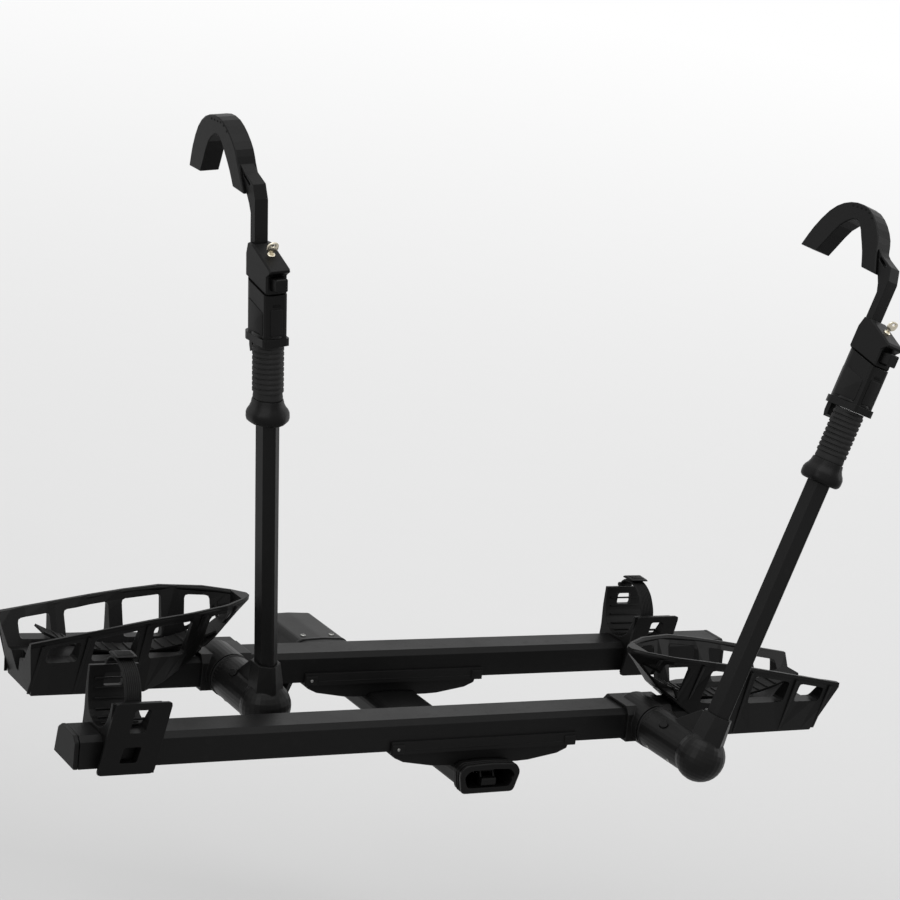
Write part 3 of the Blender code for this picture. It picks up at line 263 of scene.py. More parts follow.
def look(name):
    """The material of that name, made once."""
    recipes = {
        "powder": powder_coat,
        "cast": cast_coat,
        "plastic": lambda: moulded_plastic("moulded_plastic", 0.0020, 0.36),
        "dull_plastic": lambda: moulded_plastic("dull_plastic", 0.0028, 0.50, 500),
        # painted shade: near-black plastic laid over vents and notches, standing in for the shade inside them
        "painted_shade_gap": lambda: moulded_plastic("painted_shade_gap", 0.0010, 0.75),
        "grip": lambda: rubber("grip_rubber", 0.0090),
        "strap": lambda: rubber("strap_rubber", 0.0045),
        "zinc": lambda: plated_metal("zinc_plate", (0.30, 0.30, 0.29), 0.34),
        "nickel": lambda: plated_metal("key_nickel", (0.78, 0.72, 0.58), 0.22),
        "satin_trim": lambda: moulded_plastic("satin_trim", 0.008, 0.28),
        "floor": floor_painted_shade,
    }
    if name not in LOOKS:
        LOOKS[name] = recipes[name]()
    return LOOKS[name]


NODE_LOOKS = {
    "hitch_shank": "powder", "bracket_plate_left": "powder", "bracket_plate_right": "powder",
    "pivot_bolt": "zinc", "pivot_nut": "zinc", "tension_knob": "dull_plastic", "tension_rod": "zinc",
    "expander_wedge": "zinc", "spine_tube": "powder", "spine_head": "cast", "spine_bezel": "plastic",
    "tilt_lever": "plastic", "tilt_rod": "zinc", "tilt_pin": "zinc",
    "saddle": "dull_plastic", "keel": "dull_plastic", "rail": "powder", "rail_cap": "plastic", "hub": "cast",
    "hub_bolt": "zinc", "elbow": "cast", "fold_button": "plastic", "mast": "powder", "collar": "plastic",
    "grip": "grip", "sleeve": "plastic", "trigger": "plastic", "lock_housing": "plastic", "key": "nickel",
    "lock_plug": "plastic", "hook_neck": "powder", "hook": "plastic", "wheel_tray": "plastic",
    "tyre_seat": "dull_plastic", "cradle": "plastic", "strap": "strap", "buckle": "plastic",
}


EDGE_ROUND = {"rail": 0.0020, "mast": 0.0018, "spine_tube": 0.0022, "spine_head": 0.0022,
              "elbow": 0.0016,
              "hook": 0.0034, "hook_neck": 0.0016, "sleeve": 0.0018, "lock_housing": 0.0018,
              "rail_cap": 0.0030,
              "saddle": 0.0014, "keel": 0.0014, "cradle": 0.0014, "wheel_tray": 0.0012, "hub": 0.0016,
              "hitch_shank": 0.0015, "key": 0.0003, "trigger": 0.0012}


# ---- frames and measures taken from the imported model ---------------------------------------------
def arm_frame(side):
    """Frame of one arm: x across, y towards the wheel, z up the mast, from the fold axis."""
    origin = Vector(JOINTS[side + "_arm_fold"]["pos_m"])
    up = Vector(JOINTS[side + "_head_slide"]["axis"]).normalized()
    ahead = Vector((0, 1, 0))
    across = ahead.cross(up).normalized()
    return Matrix.Translation(origin) @ Matrix((across, ahead, up)).transposed().to_4x4()


def span(node, place):
    """Lowest and highest corner of a CAD node, measured along the axes of a frame."""
    turn = place.inverted()
    points = [turn @ vertex.co for vertex in NODES[node].data.vertices]
    return (Vector(min(p[i] for p in points) for i in range(3)),
            Vector(max(p[i] for p in points) for i in range(3)))


def rail_frame(side):
    """Frame of one rail: origin under its middle, x towards the arm's side."""
    low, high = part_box(side + "_rail")
    turn = 1 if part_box(side + "_hub")[0][0] > 0 else -1
    place = Matrix.Translation((0, (low[1] + high[1]) / 2, low[2]))
    return place @ Matrix.Rotation(0 if turn > 0 else math.pi, 4, 'Z')


def cradle_frame(side):
    across = JOINTS[side + "_strap_swing"]["pos_m"][0]
    low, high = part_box(side + "_rail")
    return Matrix.Translation((across, (low[1] + high[1]) / 2, low[2]))


# ---- shapes --------------------------------------------------------------------------------------
def add_piece(name, mesh, finish, body, place=None, smooth=40):
    """Puts a mesh in the scene as a finished piece that rides on a body."""
    mesh.name = name
    obj = bpy.data.objects.new(name, mesh)
    bpy.context.scene.collection.objects.link(obj)
    if place is not None:
        mesh.transform(place)
    mesh.materials.clear()
    mesh.materials.append(look(finish))
    mesh.shade_smooth()
    mesh.set_sharp_from_angle(angle=math.radians(smooth))
    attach(obj, body)
    return obj


def from_bmesh(shape, name="shape"):
    bmesh.ops.recalc_face_normals(shape, faces=shape.faces)
    mesh = bpy.data.meshes.new(name)
    shape.to_mesh(mesh)
    shape.free()
    return mesh


def slab(loops, low, high, plane, edge=0.0, segments=2):
    """Flat outline with holes, given a thickness from low to high across its plane and soft edges."""
    curve = bpy.data.curves.new("outline", 'CURVE')
    curve.dimensions = '2D'
    curve.fill_mode = 'BOTH'
    curve.extrude = (high - low) / 2
    for loop in loops:
        spline = curve.splines.new('POLY')
        spline.points.add(len(loop) - 1)
        for point, (x, y) in zip(spline.points, loop):
            point.co = (x, y, 0, 1)
        spline.use_cyclic_u = True
    obj = bpy.data.objects.new("outline", curve)
    bpy.context.scene.collection.objects.link(obj)
    bpy.context.view_layer.update()
    mesh = bpy.data.meshes.new_from_object(obj.evaluated_get(bpy.context.evaluated_depsgraph_get()))
    bpy.data.objects.remove(obj)
    bpy.data.curves.remove(curve)
    shape = bmesh.new()
    shape.from_mesh(mesh)
    bpy.data.meshes.remove(mesh)
    bmesh.ops.remove_doubles(shape, verts=shape.verts, dist=1e-6)
    bmesh.ops.translate(shape, verts=shape.verts, vec=(0, 0, (low + high) / 2))
    if edge:
        sharp = [e for e in shape.edges if len(e.link_faces) == 2 and e.calc_face_angle() > math.radians(50)]
        bmesh.ops.bevel(shape, geom=sharp, offset=edge, segments=segments, affect='EDGES', profile=0.5)
    shape.transform(plane)
    return from_bmesh(shape)


PLANE_YZ = Matrix(((0, 0, 1, 0), (1, 0, 0, 0), (0, 1, 0, 0), (0, 0, 0, 1)))
PLANE_XZ = Matrix(((1, 0, 0, 0), (0, 0, -1, 0), (0, 1, 0, 0), (0, 0, 0, 1)))


def rectangle(x0, y0, x1, y1):
    return [(x0, y0), (x1, y0), (x1, y1), (x0, y1)]


def rounded(points, radius, steps=4):
    """The outline with each corner replaced by a short round."""
    result = []
    for i, point in enumerate(points):
        here = Vector(point)
        before, after = Vector(points[i - 1]) - here, Vector(points[(i + 1) % len(points)]) - here
        reach = min(radius, before.length * 0.48, after.length * 0.48)
        start, end = here + before.normalized() * reach, here + after.normalized() * reach
        for k in range(steps + 1):
            t = k / steps
            result.append(tuple(start * (1 - t) ** 2 + here * 2 * t * (1 - t) + end * t ** 2))
    return result


def circle(centre, radius, steps=24, stretch=1.0):
    return [(centre[0] + radius * math.cos(2 * math.pi * i / steps),
             centre[1] + radius * stretch * math.sin(2 * math.pi * i / steps)) for i in range(steps)]


def box(low, high, edge=0.0):
    """A block with soft edges between two corners."""
    size, middle = Vector(high) - Vector(low), (Vector(high) + Vector(low)) / 2
    shape = bmesh.new()
    bmesh.ops.create_cube(shape, size=1.0, matrix=Matrix.Translation(middle) @ Matrix.Diagonal((*size, 1)))
    if edge:
        bmesh.ops.bevel(shape, geom=list(shape.edges), offset=edge, segments=2, affect='EDGES',
                        profile=0.5)
    return from_bmesh(shape)


def skin(rings, closed=True, loop=False):
    """Mesh through rings of the same number of points; loop joins the last ring to the first."""
    shape = bmesh.new()
    rows = [[shape.verts.new(point) for point in ring] for ring in rings]
    pairs = list(zip(rows, rows[1:])) + ([(rows[-1], rows[0])] if loop else [])
    for lower, upper in pairs:
        for i in range(len(lower)):
            k = (i + 1) % len(lower)
            shape.faces.new((lower[i], lower[k], upper[k], upper[i]))
    if closed and not loop:
        shape.faces.new(rows[0][::-1])
        shape.faces.new(rows[-1])
    return from_bmesh(shape)


def turned(profile, place, steps=32):
    """Solid of revolution about z from (radius, height) points, closed at the axis."""
    shape = bmesh.new()
    previous = None
    ends = []
    for radius, height in profile:
        ring = [shape.verts.new((radius * math.cos(2 * math.pi * i / steps),
                                 radius * math.sin(2 * math.pi * i / steps), height)) for i in range(steps)]
        if previous:
            for i in range(steps):
                k = (i + 1) % steps
                shape.faces.new((previous[i], previous[k], ring[k], ring[i]))
        else:
            ends.append(ring)
        previous = ring
    ends.append(previous)
    for ring in ends:
        shape.faces.new(ring)
    shape.transform(place)
    return from_bmesh(shape)


def rod(path, radius, stretch=1.0, sides=10):
    """Round bar along a path of 3-D points."""
    rings = []
    up = Vector((0, 0, 1))
    for i, point in enumerate(path):
        along = (path[min(i + 1, len(path) - 1)] - path[max(i - 1, 0)]).normalized()
        across = along.cross(up).normalized()
        lift = across.cross(along).normalized()
        rings.append([point + across * radius * math.cos(2 * math.pi * k / sides)
                      + lift * radius * stretch * math.sin(2 * math.pi * k / sides) for k in range(sides)])
    return skin(rings)


def curve_through(points, per_span=6):
    """Catmull-Rom curve through the points."""
    points = [Vector(p) for p in points]
    ends = [points[0] * 2 - points[1]] + points + [points[-1] * 2 - points[-2]]
    result = []
    for i in range(1, len(ends) - 2):
        a, b, c, d = ends[i - 1:i + 3]
        for k in range(per_span):
            t = k / per_span
            result.append(0.5 * (2 * b + (c - a) * t + (2 * a - 5 * b + 4 * c - d) * t ** 2
                                 + (3 * b - a - 3 * c + d) * t ** 3))
    return result + [ends[-2]]


def joined(meshes):
    """One mesh out of several."""
    shape = bmesh.new()
    for mesh in meshes:
        shape.from_mesh(mesh)
        bpy.data.meshes.remove(mesh)
    return from_bmesh(shape)


def pan_screw(radius=0.0035, height=0.0018):
    """Small domed screw with a round recess in its top, its head towards +z."""
    head = turned([(radius * 0.97, 0), (radius, height * 0.35), (radius * 0.86, height * 0.8),
                   (radius * 0.56, height), (radius * 0.50, height * 0.4)], Matrix.Identity(4), 20)
    return head


def tube(outer, inner):
    """Hollow sleeve between two lists of rings, open at both ends."""
    return skin(outer + inner[::-1], loop=True)


# ---- settings ------------------------------------------------------------------------------------
class RackFinish(bpy.types.PropertyGroup):
    """Sizes and counts that may be changed."""
    grip_ribs: bpy.props.IntProperty(name="Grip ribs", description="Ribs around each arm's grip",
                                     default=9)
    rib_height: bpy.props.FloatProperty(name="Rib height", description="How far a grip rib stands out",
                                        default=0.0021, unit='LENGTH')
    strap_rungs: bpy.props.IntProperty(name="Strap ribs",
                                       description="Long ribs on each rubber strap", default=8)
    vent_count: bpy.props.IntProperty(name="Hook vents", default=6,
                                      description="Small slots along the hook's crown")
    lip_radius: bpy.props.FloatProperty(name="Tray lip", default=0.0042, unit='LENGTH',
                                        description="Radius of the rolled lip of each wheel tray")


def settings():
    return bpy.context.scene.rack_finish


# ---- arms ----------------------------------------------------------------------------------------
def mast_ring(grow_x, grow_y, height, round_by=0.009, steps=3):
    """Ring around the mast's flat octagon, grown and rounded."""
    w, d, c = 0.014 + grow_x, 0.025 + grow_y, 0.012 + (grow_x + grow_y) * 0.30
    outline = [(w, c - d), (w, d - c), (w - c, d), (c - w, d), (-w, d - c), (-w, c - d), (c - w, -d),
               (w - c, -d)]
    return [(x, y, height) for x, y in rounded(outline, round_by, steps)]


class RACK_OT_grips(bpy.types.Operator):
    """Ribbed grips and flared collars of the sliding heads"""
    bl_idname = "rack.grips"
    bl_label = "Grips and collars"

    def execute(self, context):
        for side in SIDES:
            place = arm_frame(side)
            self.collar(side, place)
            self.grip(side, place)
        return {'FINISHED'}

    def collar(self, side, place):
        low, high = span(side + "_collar", place)
        height = high.z - low.z
        profile = [(0.000, 0.0105), (0.03, 0.0132), (0.10, 0.0160), (0.22, 0.0172), (0.42, 0.0170),
                   (0.55, 0.0150),
                   (0.66, 0.0118), (0.80, 0.0092), (0.94, 0.0082), (1.0, 0.0074)]
        outer = [mast_ring(g, g * 0.82, low.z + s * height) for s, g in profile]
        inner = [mast_ring(0.0006, 0.0006, low.z + s * height) for s in (0, 1)]
        piece = add_piece(side + "_collar_moulding", tube(outer, inner), "plastic", side + "_head",
                          place, 60)
        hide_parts(side + "_collar")

    def grip(self, side, place):
        low, high = span(side + "_grip", place)
        ribs, lift = settings().grip_ribs, settings().rib_height
        foot, top = low.z, high.z
        start, end = foot + 0.010, top - 0.004
        pitch = (end - start) / ribs
        base = 0.0066
        stations = [(foot, base), (foot + 0.003, base + 0.001), (start - 0.001, base)]
        for i in range(ribs):
            s = start + i * pitch
            stations += [(s + pitch * 0.10, base), (s + pitch * 0.24, base + lift),
                         (s + pitch * 0.78, base + lift),
                         (s + pitch * 0.92, base)]
        stations.append((top, base))
        outer = [mast_ring(g, g * 0.49, s) for s, g in stations]
        inner = [mast_ring(0.0006, 0.0006, s) for s in (foot, top)]
        piece = add_piece(side + "_grip_ribbed", tube(outer, inner), "grip", side + "_head", place,
                          50)
        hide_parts(side + "_grip")


class RACK_OT_hooks(bpy.types.Operator):
    """Vent slots along the crown of the tyre hooks, drawn as near-black pills whose darkness is painted shade
    """
    bl_idname = "rack.hooks"
    bl_label = "Hook vents"

    def execute(self, context):
        for side in SIDES:
            place = arm_frame(side)
            turn = place.inverted()
            points = [turn @ vertex.co for vertex in NODES[side + "_hook"].data.vertices]
            low, high = span(side + "_hook", place)
            vents = []
            for k in range(settings().vent_count):
                y = low.y + (high.y - low.y) * (0.30 + 0.055 * k)
                near = [p for p in points if abs(p.y - y) < 0.012 and p.z > low.z + (high.z - low.z) * 0.55]
                if not near:
                    continue
                crown = max(p.z for p in near)
                # painted shade: each vent is a thin near-black pill on the crown's side face, standing in for
                # the shade inside a slot
                vents.append(slab([rounded(rectangle(y - 0.0026, crown - 0.0085, y + 0.0026,
                                                     crown - 0.0052), 0.0014,
                                           3)], low.x - 0.0001, low.x + 0.0006, PLANE_YZ))
                vents.append(slab([rounded(rectangle(y - 0.0026, crown - 0.0085, y + 0.0026,
                                                     crown - 0.0052), 0.0014,
                                           3)], high.x - 0.0006, high.x + 0.0001, PLANE_YZ))
            if not vents:
                raise RuntimeError("the hook has no crown to vent")
            add_piece(side + "_hook_vent_shade", joined(vents), "painted_shade_gap", side + "_head", place, 40)
        return {'FINISHED'}


class RACK_OT_head_details(bpy.types.Operator):
    """Panels, notch, step, key and ribs of the sliding heads"""
    bl_idname = "rack.head_details"
    bl_label = "Head details"

    def execute(self, context):
        for side in SIDES:
            place = arm_frame(side)
            self.panels(side, place)
            self.key(side, place)
            self.trigger_ribs(side, place)
        return {'FINISHED'}

    def panels(self, side, place):
        low, high = span(side + "_sleeve", place)
        foot = low.z + 0.016
        panel = [(-0.0105, foot), (0.0105, foot), (0.0105, high.z - 0.038), (-0.0105, high.z - 0.038)]
        notch = [(-0.006, high.z - 0.035), (0.006, high.z - 0.035), (0.006, high.z - 0.031),
                 (-0.006, high.z - 0.031)]
        face = low.y + 0.0028
        w = 0.019
        flank = [(-0.020, foot), (0.030, foot), (0.030, high.z - 0.030), (-0.020, high.z - 0.044)]
        meshes = [slab([rounded(panel, 0.003)], -face - 0.001, -face + 0.0009, PLANE_XZ, 0.0005),
                  slab([rounded(flank, 0.004)], w - 0.001, w + 0.0007, PLANE_YZ, 0.0005),
                  slab([rounded(flank, 0.004)], -w - 0.0007, -w + 0.001, PLANE_YZ, 0.0005)]
        add_piece(side + "_sleeve_panels", joined(meshes), "dull_plastic", side + "_head", place, 40)
        # painted shade: the notch is a thin near-black sheet on the sleeve's face, standing in for the shade
        # in a recess
        add_piece(side + "_sleeve_notch_shade", slab([rounded(notch, 0.0012)], -face - 0.001,
                                               -face + 0.0005, PLANE_XZ),
                  "painted_shade_gap", side + "_head", place, 40)
        lip = [mast_ring(0.0085, 0.0072 , low.z + s, 0.008) for s in (0.0125, 0.0145)]
        lip += [mast_ring(0.0068, 0.0060, low.z + s, 0.008) for s in (0.0168,)]
        inner = [mast_ring(0.0030, 0.0030, low.z + s) for s in (0.0125, 0.0168)]
        add_piece(side + "_sleeve_step", tube(lip, inner), "plastic", side + "_head", place, 50)

    def key(self, side, place):
        """Flat key with a drilled bow in its barrel."""
        joint = JOINTS[side + "_key_turn"]
        axis = Vector(joint["axis"]).normalized()
        across = (place.to_3x3() @ Vector((1, 0, 0))).normalized()
        ahead = axis.cross(across).normalized()
        seat = Matrix.Translation(joint["pos_m"]) @ Matrix((across, ahead, axis)).transposed().to_4x4()
        barrel = turned([(0.0001, -0.012), (0.0062, -0.012), (0.0062, 0.0006), (0.0054, 0.0014),
                         (0.0001, 0.0014)],
                        Matrix.Identity(4), 28)
        bow = rounded([(-0.0045, 0.0050), (0.0045, 0.0050), (0.0095, 0.0085), (0.0095, 0.0175),
                       (0.0050, 0.0220),
                       (-0.0050, 0.0220), (-0.0095, 0.0175), (-0.0095, 0.0085)], 0.0045, 4)
        hole = circle((0, 0.0165), 0.0026, 18)
        blade = slab([bow, hole], -0.0011, 0.0011, PLANE_XZ, 0.0004)
        stem = box((-0.0035, -0.0009, 0.0008), (0.0035, 0.0009, 0.0065), 0.0003)
        piece = add_piece(side + "_key_and_barrel", joined([barrel, blade, stem]), "nickel",
                          side + "_key", seat, 35)
        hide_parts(side + "_key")

    def trigger_ribs(self, side, place):
        low, high = span(side + "_trigger", place)
        bars = []
        for i in range(7):
            z = low.z + 0.014 + i * 0.0065
            bars.append(box((-0.0085, high.y - 0.0008, z), (0.0085, high.y + 0.0010, z + 0.0026),
                            0.0005))
        add_piece(side + "_trigger_ribs", joined(bars), "plastic", side + "_trigger", place, 40)


class RACK_OT_hub_details(bpy.types.Operator):
    """Seam rings, setting marks and screws of the arm hubs"""
    bl_idname = "rack.hub_details"
    bl_label = "Hub details"

    def execute(self, context):
        for side in SIDES:
            place = arm_frame(side)
            low, high = span(side + "_elbow", place)
            seam = high.y
            turn = Matrix.Rotation(-math.pi / 2, 4, 'X')
            ring = turned([(0.0300, -0.0062), (0.0362, -0.0062), (0.0374, -0.0050), (0.0374, -0.0030),
                           (0.0362, -0.0018), (0.0300, -0.0018)], Matrix.Translation((0, seam, 0)) @ turn, 56)
            add_piece(side + "_seam_ring", ring, "cast", side + "_arm", place, 40)
            marks = []
            for k in range(9):
                angle = math.radians(100 + 9 * k)
                spot = Matrix.Rotation(-angle, 4, 'Y')
                mark = box((0.0360, seam - 0.0150, -0.0006), (0.0369, seam - 0.0085, 0.0006), 0.0002)
                mark.transform(spot)
                marks.append(mark)
            add_piece(side + "_setting_marks", joined(marks), "satin_trim", side + "_arm", place, 40)
            screws = []
            for reach in (0.045, 0.105):
                angle = math.radians(235)
                out = Vector((math.cos(angle), 0, math.sin(angle)))
                head = pan_screw(0.0034, 0.0016)
                head.transform(Matrix.Translation(out * 0.0362 + Vector((0, reach, 0)))
                               @ out.to_track_quat('Z', 'Y').to_matrix().to_4x4())
                screws.append(head)
            add_piece(side + "_elbow_screws", joined(screws), "zinc", side + "_arm", place, 40)
        return {'FINISHED'}


# ---- rails, saddles and spine --------------------------------------------------------------------
class RACK_OT_rail_details(bpy.types.Operator):
    """Saddle ribs and screws"""
    bl_idname = "rack.rail_details"
    bl_label = "Rail details"

    def execute(self, context):
        for side in SIDES:
            self.saddle(side)
        return {'FINISHED'}

    def saddle(self, side):
        low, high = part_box(side + "_saddle")
        floor = low[2]
        meshes, screws = [], []
        for face, way in ((low[1], 1), (high[1], -1)):
            for k in range(3):
                z = floor + 0.0062 + k * 0.0040
                lean = way * 0.0011 * (k + 0.9)
                wide = 0.150 - 0.012 * k
                bar = box((-wide, face + lean - 0.0009, z), (wide, face + lean + 0.0012, z + 0.0016),
                          0.0005)
                meshes.append(bar)
            for end in (-1, 1):
                x = end * (high[0] - 0.012)
                block = box((x - 0.011, face + way * 0.0008 - 0.0018, floor + 0.0015),
                            (x + 0.011, face + way * 0.0008 + 0.0018, floor + 0.0165), 0.0012)
                meshes.append(block)
                if end > 0:
                    continue
                head = pan_screw(0.0026, 0.0014)
                turn = Matrix.Rotation(math.radians(90 * way), 4, 'X')
                head.transform(Matrix.Translation((x, face - way * 0.0008, floor + 0.009)) @ turn)
                screws.append(head)
        add_piece(side + "_saddle_ribs", joined(meshes), "dull_plastic", "spine", None, 40)
        add_piece(side + "_saddle_screws", joined(screws), "zinc", "spine", None, 40)


def spine_outline(grow):
    top, base = 0.0535 + grow, 0.045 + grow
    high, low = 0.042 + grow, -grow
    return rounded([(-base, low), (base, low), (top, 0.030), (top - 0.010, high - 0.002), (0, high),
                    (0.010 - top, high - 0.002), (-top, 0.030)], 0.007, 4)


class RACK_OT_spine_details(bpy.types.Operator):
    """Bezel lip, head screws and washers of the spine"""
    bl_idname = "rack.spine_details"
    bl_label = "Spine details"

    def execute(self, context):
        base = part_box("spine_tube")[0][2]
        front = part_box("spine_bezel")[0][1]
        steps = [(0.0012, 0.0014), (0.0030, 0.0000), (0.0042, 0.0008), (0.0042, 0.0044),
                 (0.0030, 0.0056)]
        rings = [[(x, front + y, base + z) for x, z in spine_outline(g)] for g, y in steps]
        inner = [[(x, front + y, base + z) for x, z in spine_outline(-0.0042)] for y in (0.0014, 0.0056)]
        add_piece("bezel_lip", tube(rings, inner), "satin_trim", "spine", None, 50)
        ridges = []
        for y in (0.0105, 0.0165):
            ring = [[(x, front + y + s, base + z) for x, z in spine_outline(g)]
                    for g, s in ((0.0030, -0.0016), (0.0041, -0.0006), (0.0041, 0.0006),
                                 (0.0030, 0.0016))]
            back = [[(x, front + y + s, base + z) for x, z in spine_outline(0.0022)]
                    for s in (-0.0016, 0.0016)]
            ridges.append(tube(ring, back))
        add_piece("bezel_ridges", joined(ridges), "plastic", "spine", None, 50)
        head_low, head_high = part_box("spine_head")
        screws = []
        for x in (-0.029, 0.029):
            head = pan_screw(0.0052, 0.0022)
            head.transform(Matrix.Translation((x, head_low[1] + 0.024, head_high[2] - 0.0012)))
            screws.append(head)
        add_piece("head_screws", joined(screws), "zinc", "spine", None, 40)
        ledge = slab([spine_outline(0.0016), spine_outline(-0.0006)], -0.0035, 0.0035,
                     Matrix.Translation((0, head_low[1] + 0.004, base)) @ PLANE_XZ, 0.0008)
        add_piece("head_ledge", ledge, "cast", "spine", None, 40)
        pivot = JOINTS["spine_tilt"]["pos_m"]
        washers = []
        for x in (head_low[0] - 0.0002, head_high[0] + 0.0002):
            washers.append(turned([(0.0075, -0.0002), (0.0150, -0.0002), (0.0155, 0.0),
                                   (0.0150, 0.0002),
                                   (0.0075, 0.0002)], Matrix.Translation((x, pivot[1], pivot[2]))
                                  @ Matrix.Rotation(math.pi / 2, 4, 'Y'), 40))
        add_piece("pivot_washers", joined(washers), "zinc", "receiver", None, 40)
        return {'FINISHED'}


# ---- wheel trays ---------------------------------------------------------------------------------
def table_at(x, rows):
    """Value of a table of (position, value) at a position."""
    for (x0, y0), (x1, y1) in zip(rows, rows[1:]):
        if x <= x1:
            return y0 + (y1 - y0) * max(0.0, (x - x0) / (x1 - x0))
    return rows[-1][1]


RIM_WIDTH = [(0.0, 0.006), (0.02, 0.026), (0.06, 0.052), (0.13, 0.073), (0.22, 0.077), (0.405, 0.080)]
RIM_HEIGHT = [(0.0, 0.147), (0.06, 0.145), (0.13, 0.141), (0.21, 0.131), (0.31, 0.114), (0.405, 0.098)]
BASE_WIDTH = [(0.0, 0.003), (0.06, 0.020), (0.13, 0.042), (0.19, 0.052), (0.405, 0.052)]
BASE_HEIGHT = [(0.0, 0.136), (0.02, 0.118), (0.06, 0.078), (0.11, 0.045), (0.155, 0.014),
               (0.19, 0.001), (0.405, 0.001)]
RIBS = (0.040, 0.109, 0.208, 0.308, 0.384)
SEAT_RADIUS, SEAT_CENTRE = 0.341, (0.205, 0.3995)    # arc of the seat under the tyre
SEAT_BARS, SEAT_ARC = 15, 44                         # cross bars, and degrees that they cover


class RACK_OT_tray_details(bpy.types.Operator):
    """Rolled lips, outer ribs and seat ribs of the wheel trays"""
    bl_idname = "rack.tray_details"
    bl_label = "Wheel tray details"

    def execute(self, context):
        for side in SIDES:
            low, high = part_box(side + "_wheel_tray")
            nose = min(abs(low[0]), abs(high[0]))
            place = rail_frame(side) @ Matrix.Translation((nose, 0, 0))
            self.lip(side, place)
            self.ribs(side, place)
            self.seat_ribs(side, place)
        return {'FINISHED'}

    def lip(self, side, place):
        stations = (0.403, 0.36, 0.31, 0.26, 0.21, 0.16, 0.12, 0.08, 0.045, 0.02, 0.006)
        right = [Vector((x, table_at(x, RIM_WIDTH) - 0.0038, table_at(x, RIM_HEIGHT) - 0.0046))
                 for x in stations]
        left = [Vector((p.x, -p.y, p.z)) for p in reversed(right)]
        path = curve_through(right + left, 4)
        add_piece(side + "_tray_lip", rod(path, settings().lip_radius, 0.95), "plastic",
                  side + "_rail", place, 60)

    def ribs(self, side, place):
        """Tapered ribs down the outside of both walls, between the windows."""
        meshes = []
        for x in RIBS:
            top = Vector((x, table_at(x, RIM_WIDTH), table_at(x, RIM_HEIGHT) - 0.008))
            foot = Vector((x + 0.004, table_at(x, BASE_WIDTH), table_at(x, BASE_HEIGHT) + 0.004))
            for way in (-1, 1):
                rings = []
                for t in (0.0, 0.25, 0.5, 0.75, 1.0):
                    point = top.lerp(foot, t)
                    proud, half = 0.0034 * (1 - 0.55 * t), 0.0034 * (1 - 0.25 * t)
                    section = [(-half, -0.001), (half, -0.001), (half * 0.75, proud),
                               (-half * 0.75, proud)]
                    rings.append([Vector((point.x + a, way * (point.y + b), point.z)) for a,
                                  b in section])
                meshes.append(skin(rings))
        add_piece(side + "_tray_ribs", joined(meshes), "plastic", side + "_rail", place, 30)

    def seat_ribs(self, side, place):
        """Cross bars on the seat under the tyre."""
        meshes = []
        for k in range(SEAT_BARS):
            angle = math.radians(-90 - SEAT_ARC / 2 + SEAT_ARC * k / (SEAT_BARS - 1))
            spot = Vector((SEAT_CENTRE[0] + SEAT_RADIUS * math.cos(angle), 0,
                           SEAT_CENTRE[1] + SEAT_RADIUS * math.sin(angle)))
            bar = box((-0.0018, -0.0185, -0.0008), (0.0018, 0.0185, 0.0020), 0.0006)
            bar.transform(Matrix.Translation(spot) @ Matrix.Rotation(-(angle + math.pi / 2), 4, 'Y'))
            meshes.append(bar)
        add_piece(side + "_seat_ribs", joined(meshes), "dull_plastic", side + "_rail", place, 40)


# ---- cradles -------------------------------------------------------------------------------------
LAP = [(-0.045, 0.092), (-0.034, 0.068), (-0.014, 0.0555), (0.010, 0.0545), (0.030, 0.066),
       (0.040, 0.088),
       (0.0445, 0.110), (0.0465, 0.126)]
STRAP = [(0.0495, 0.1345), (0.034, 0.147), (0.010, 0.148), (-0.013, 0.136), (-0.028, 0.115),
         (-0.034, 0.097)]


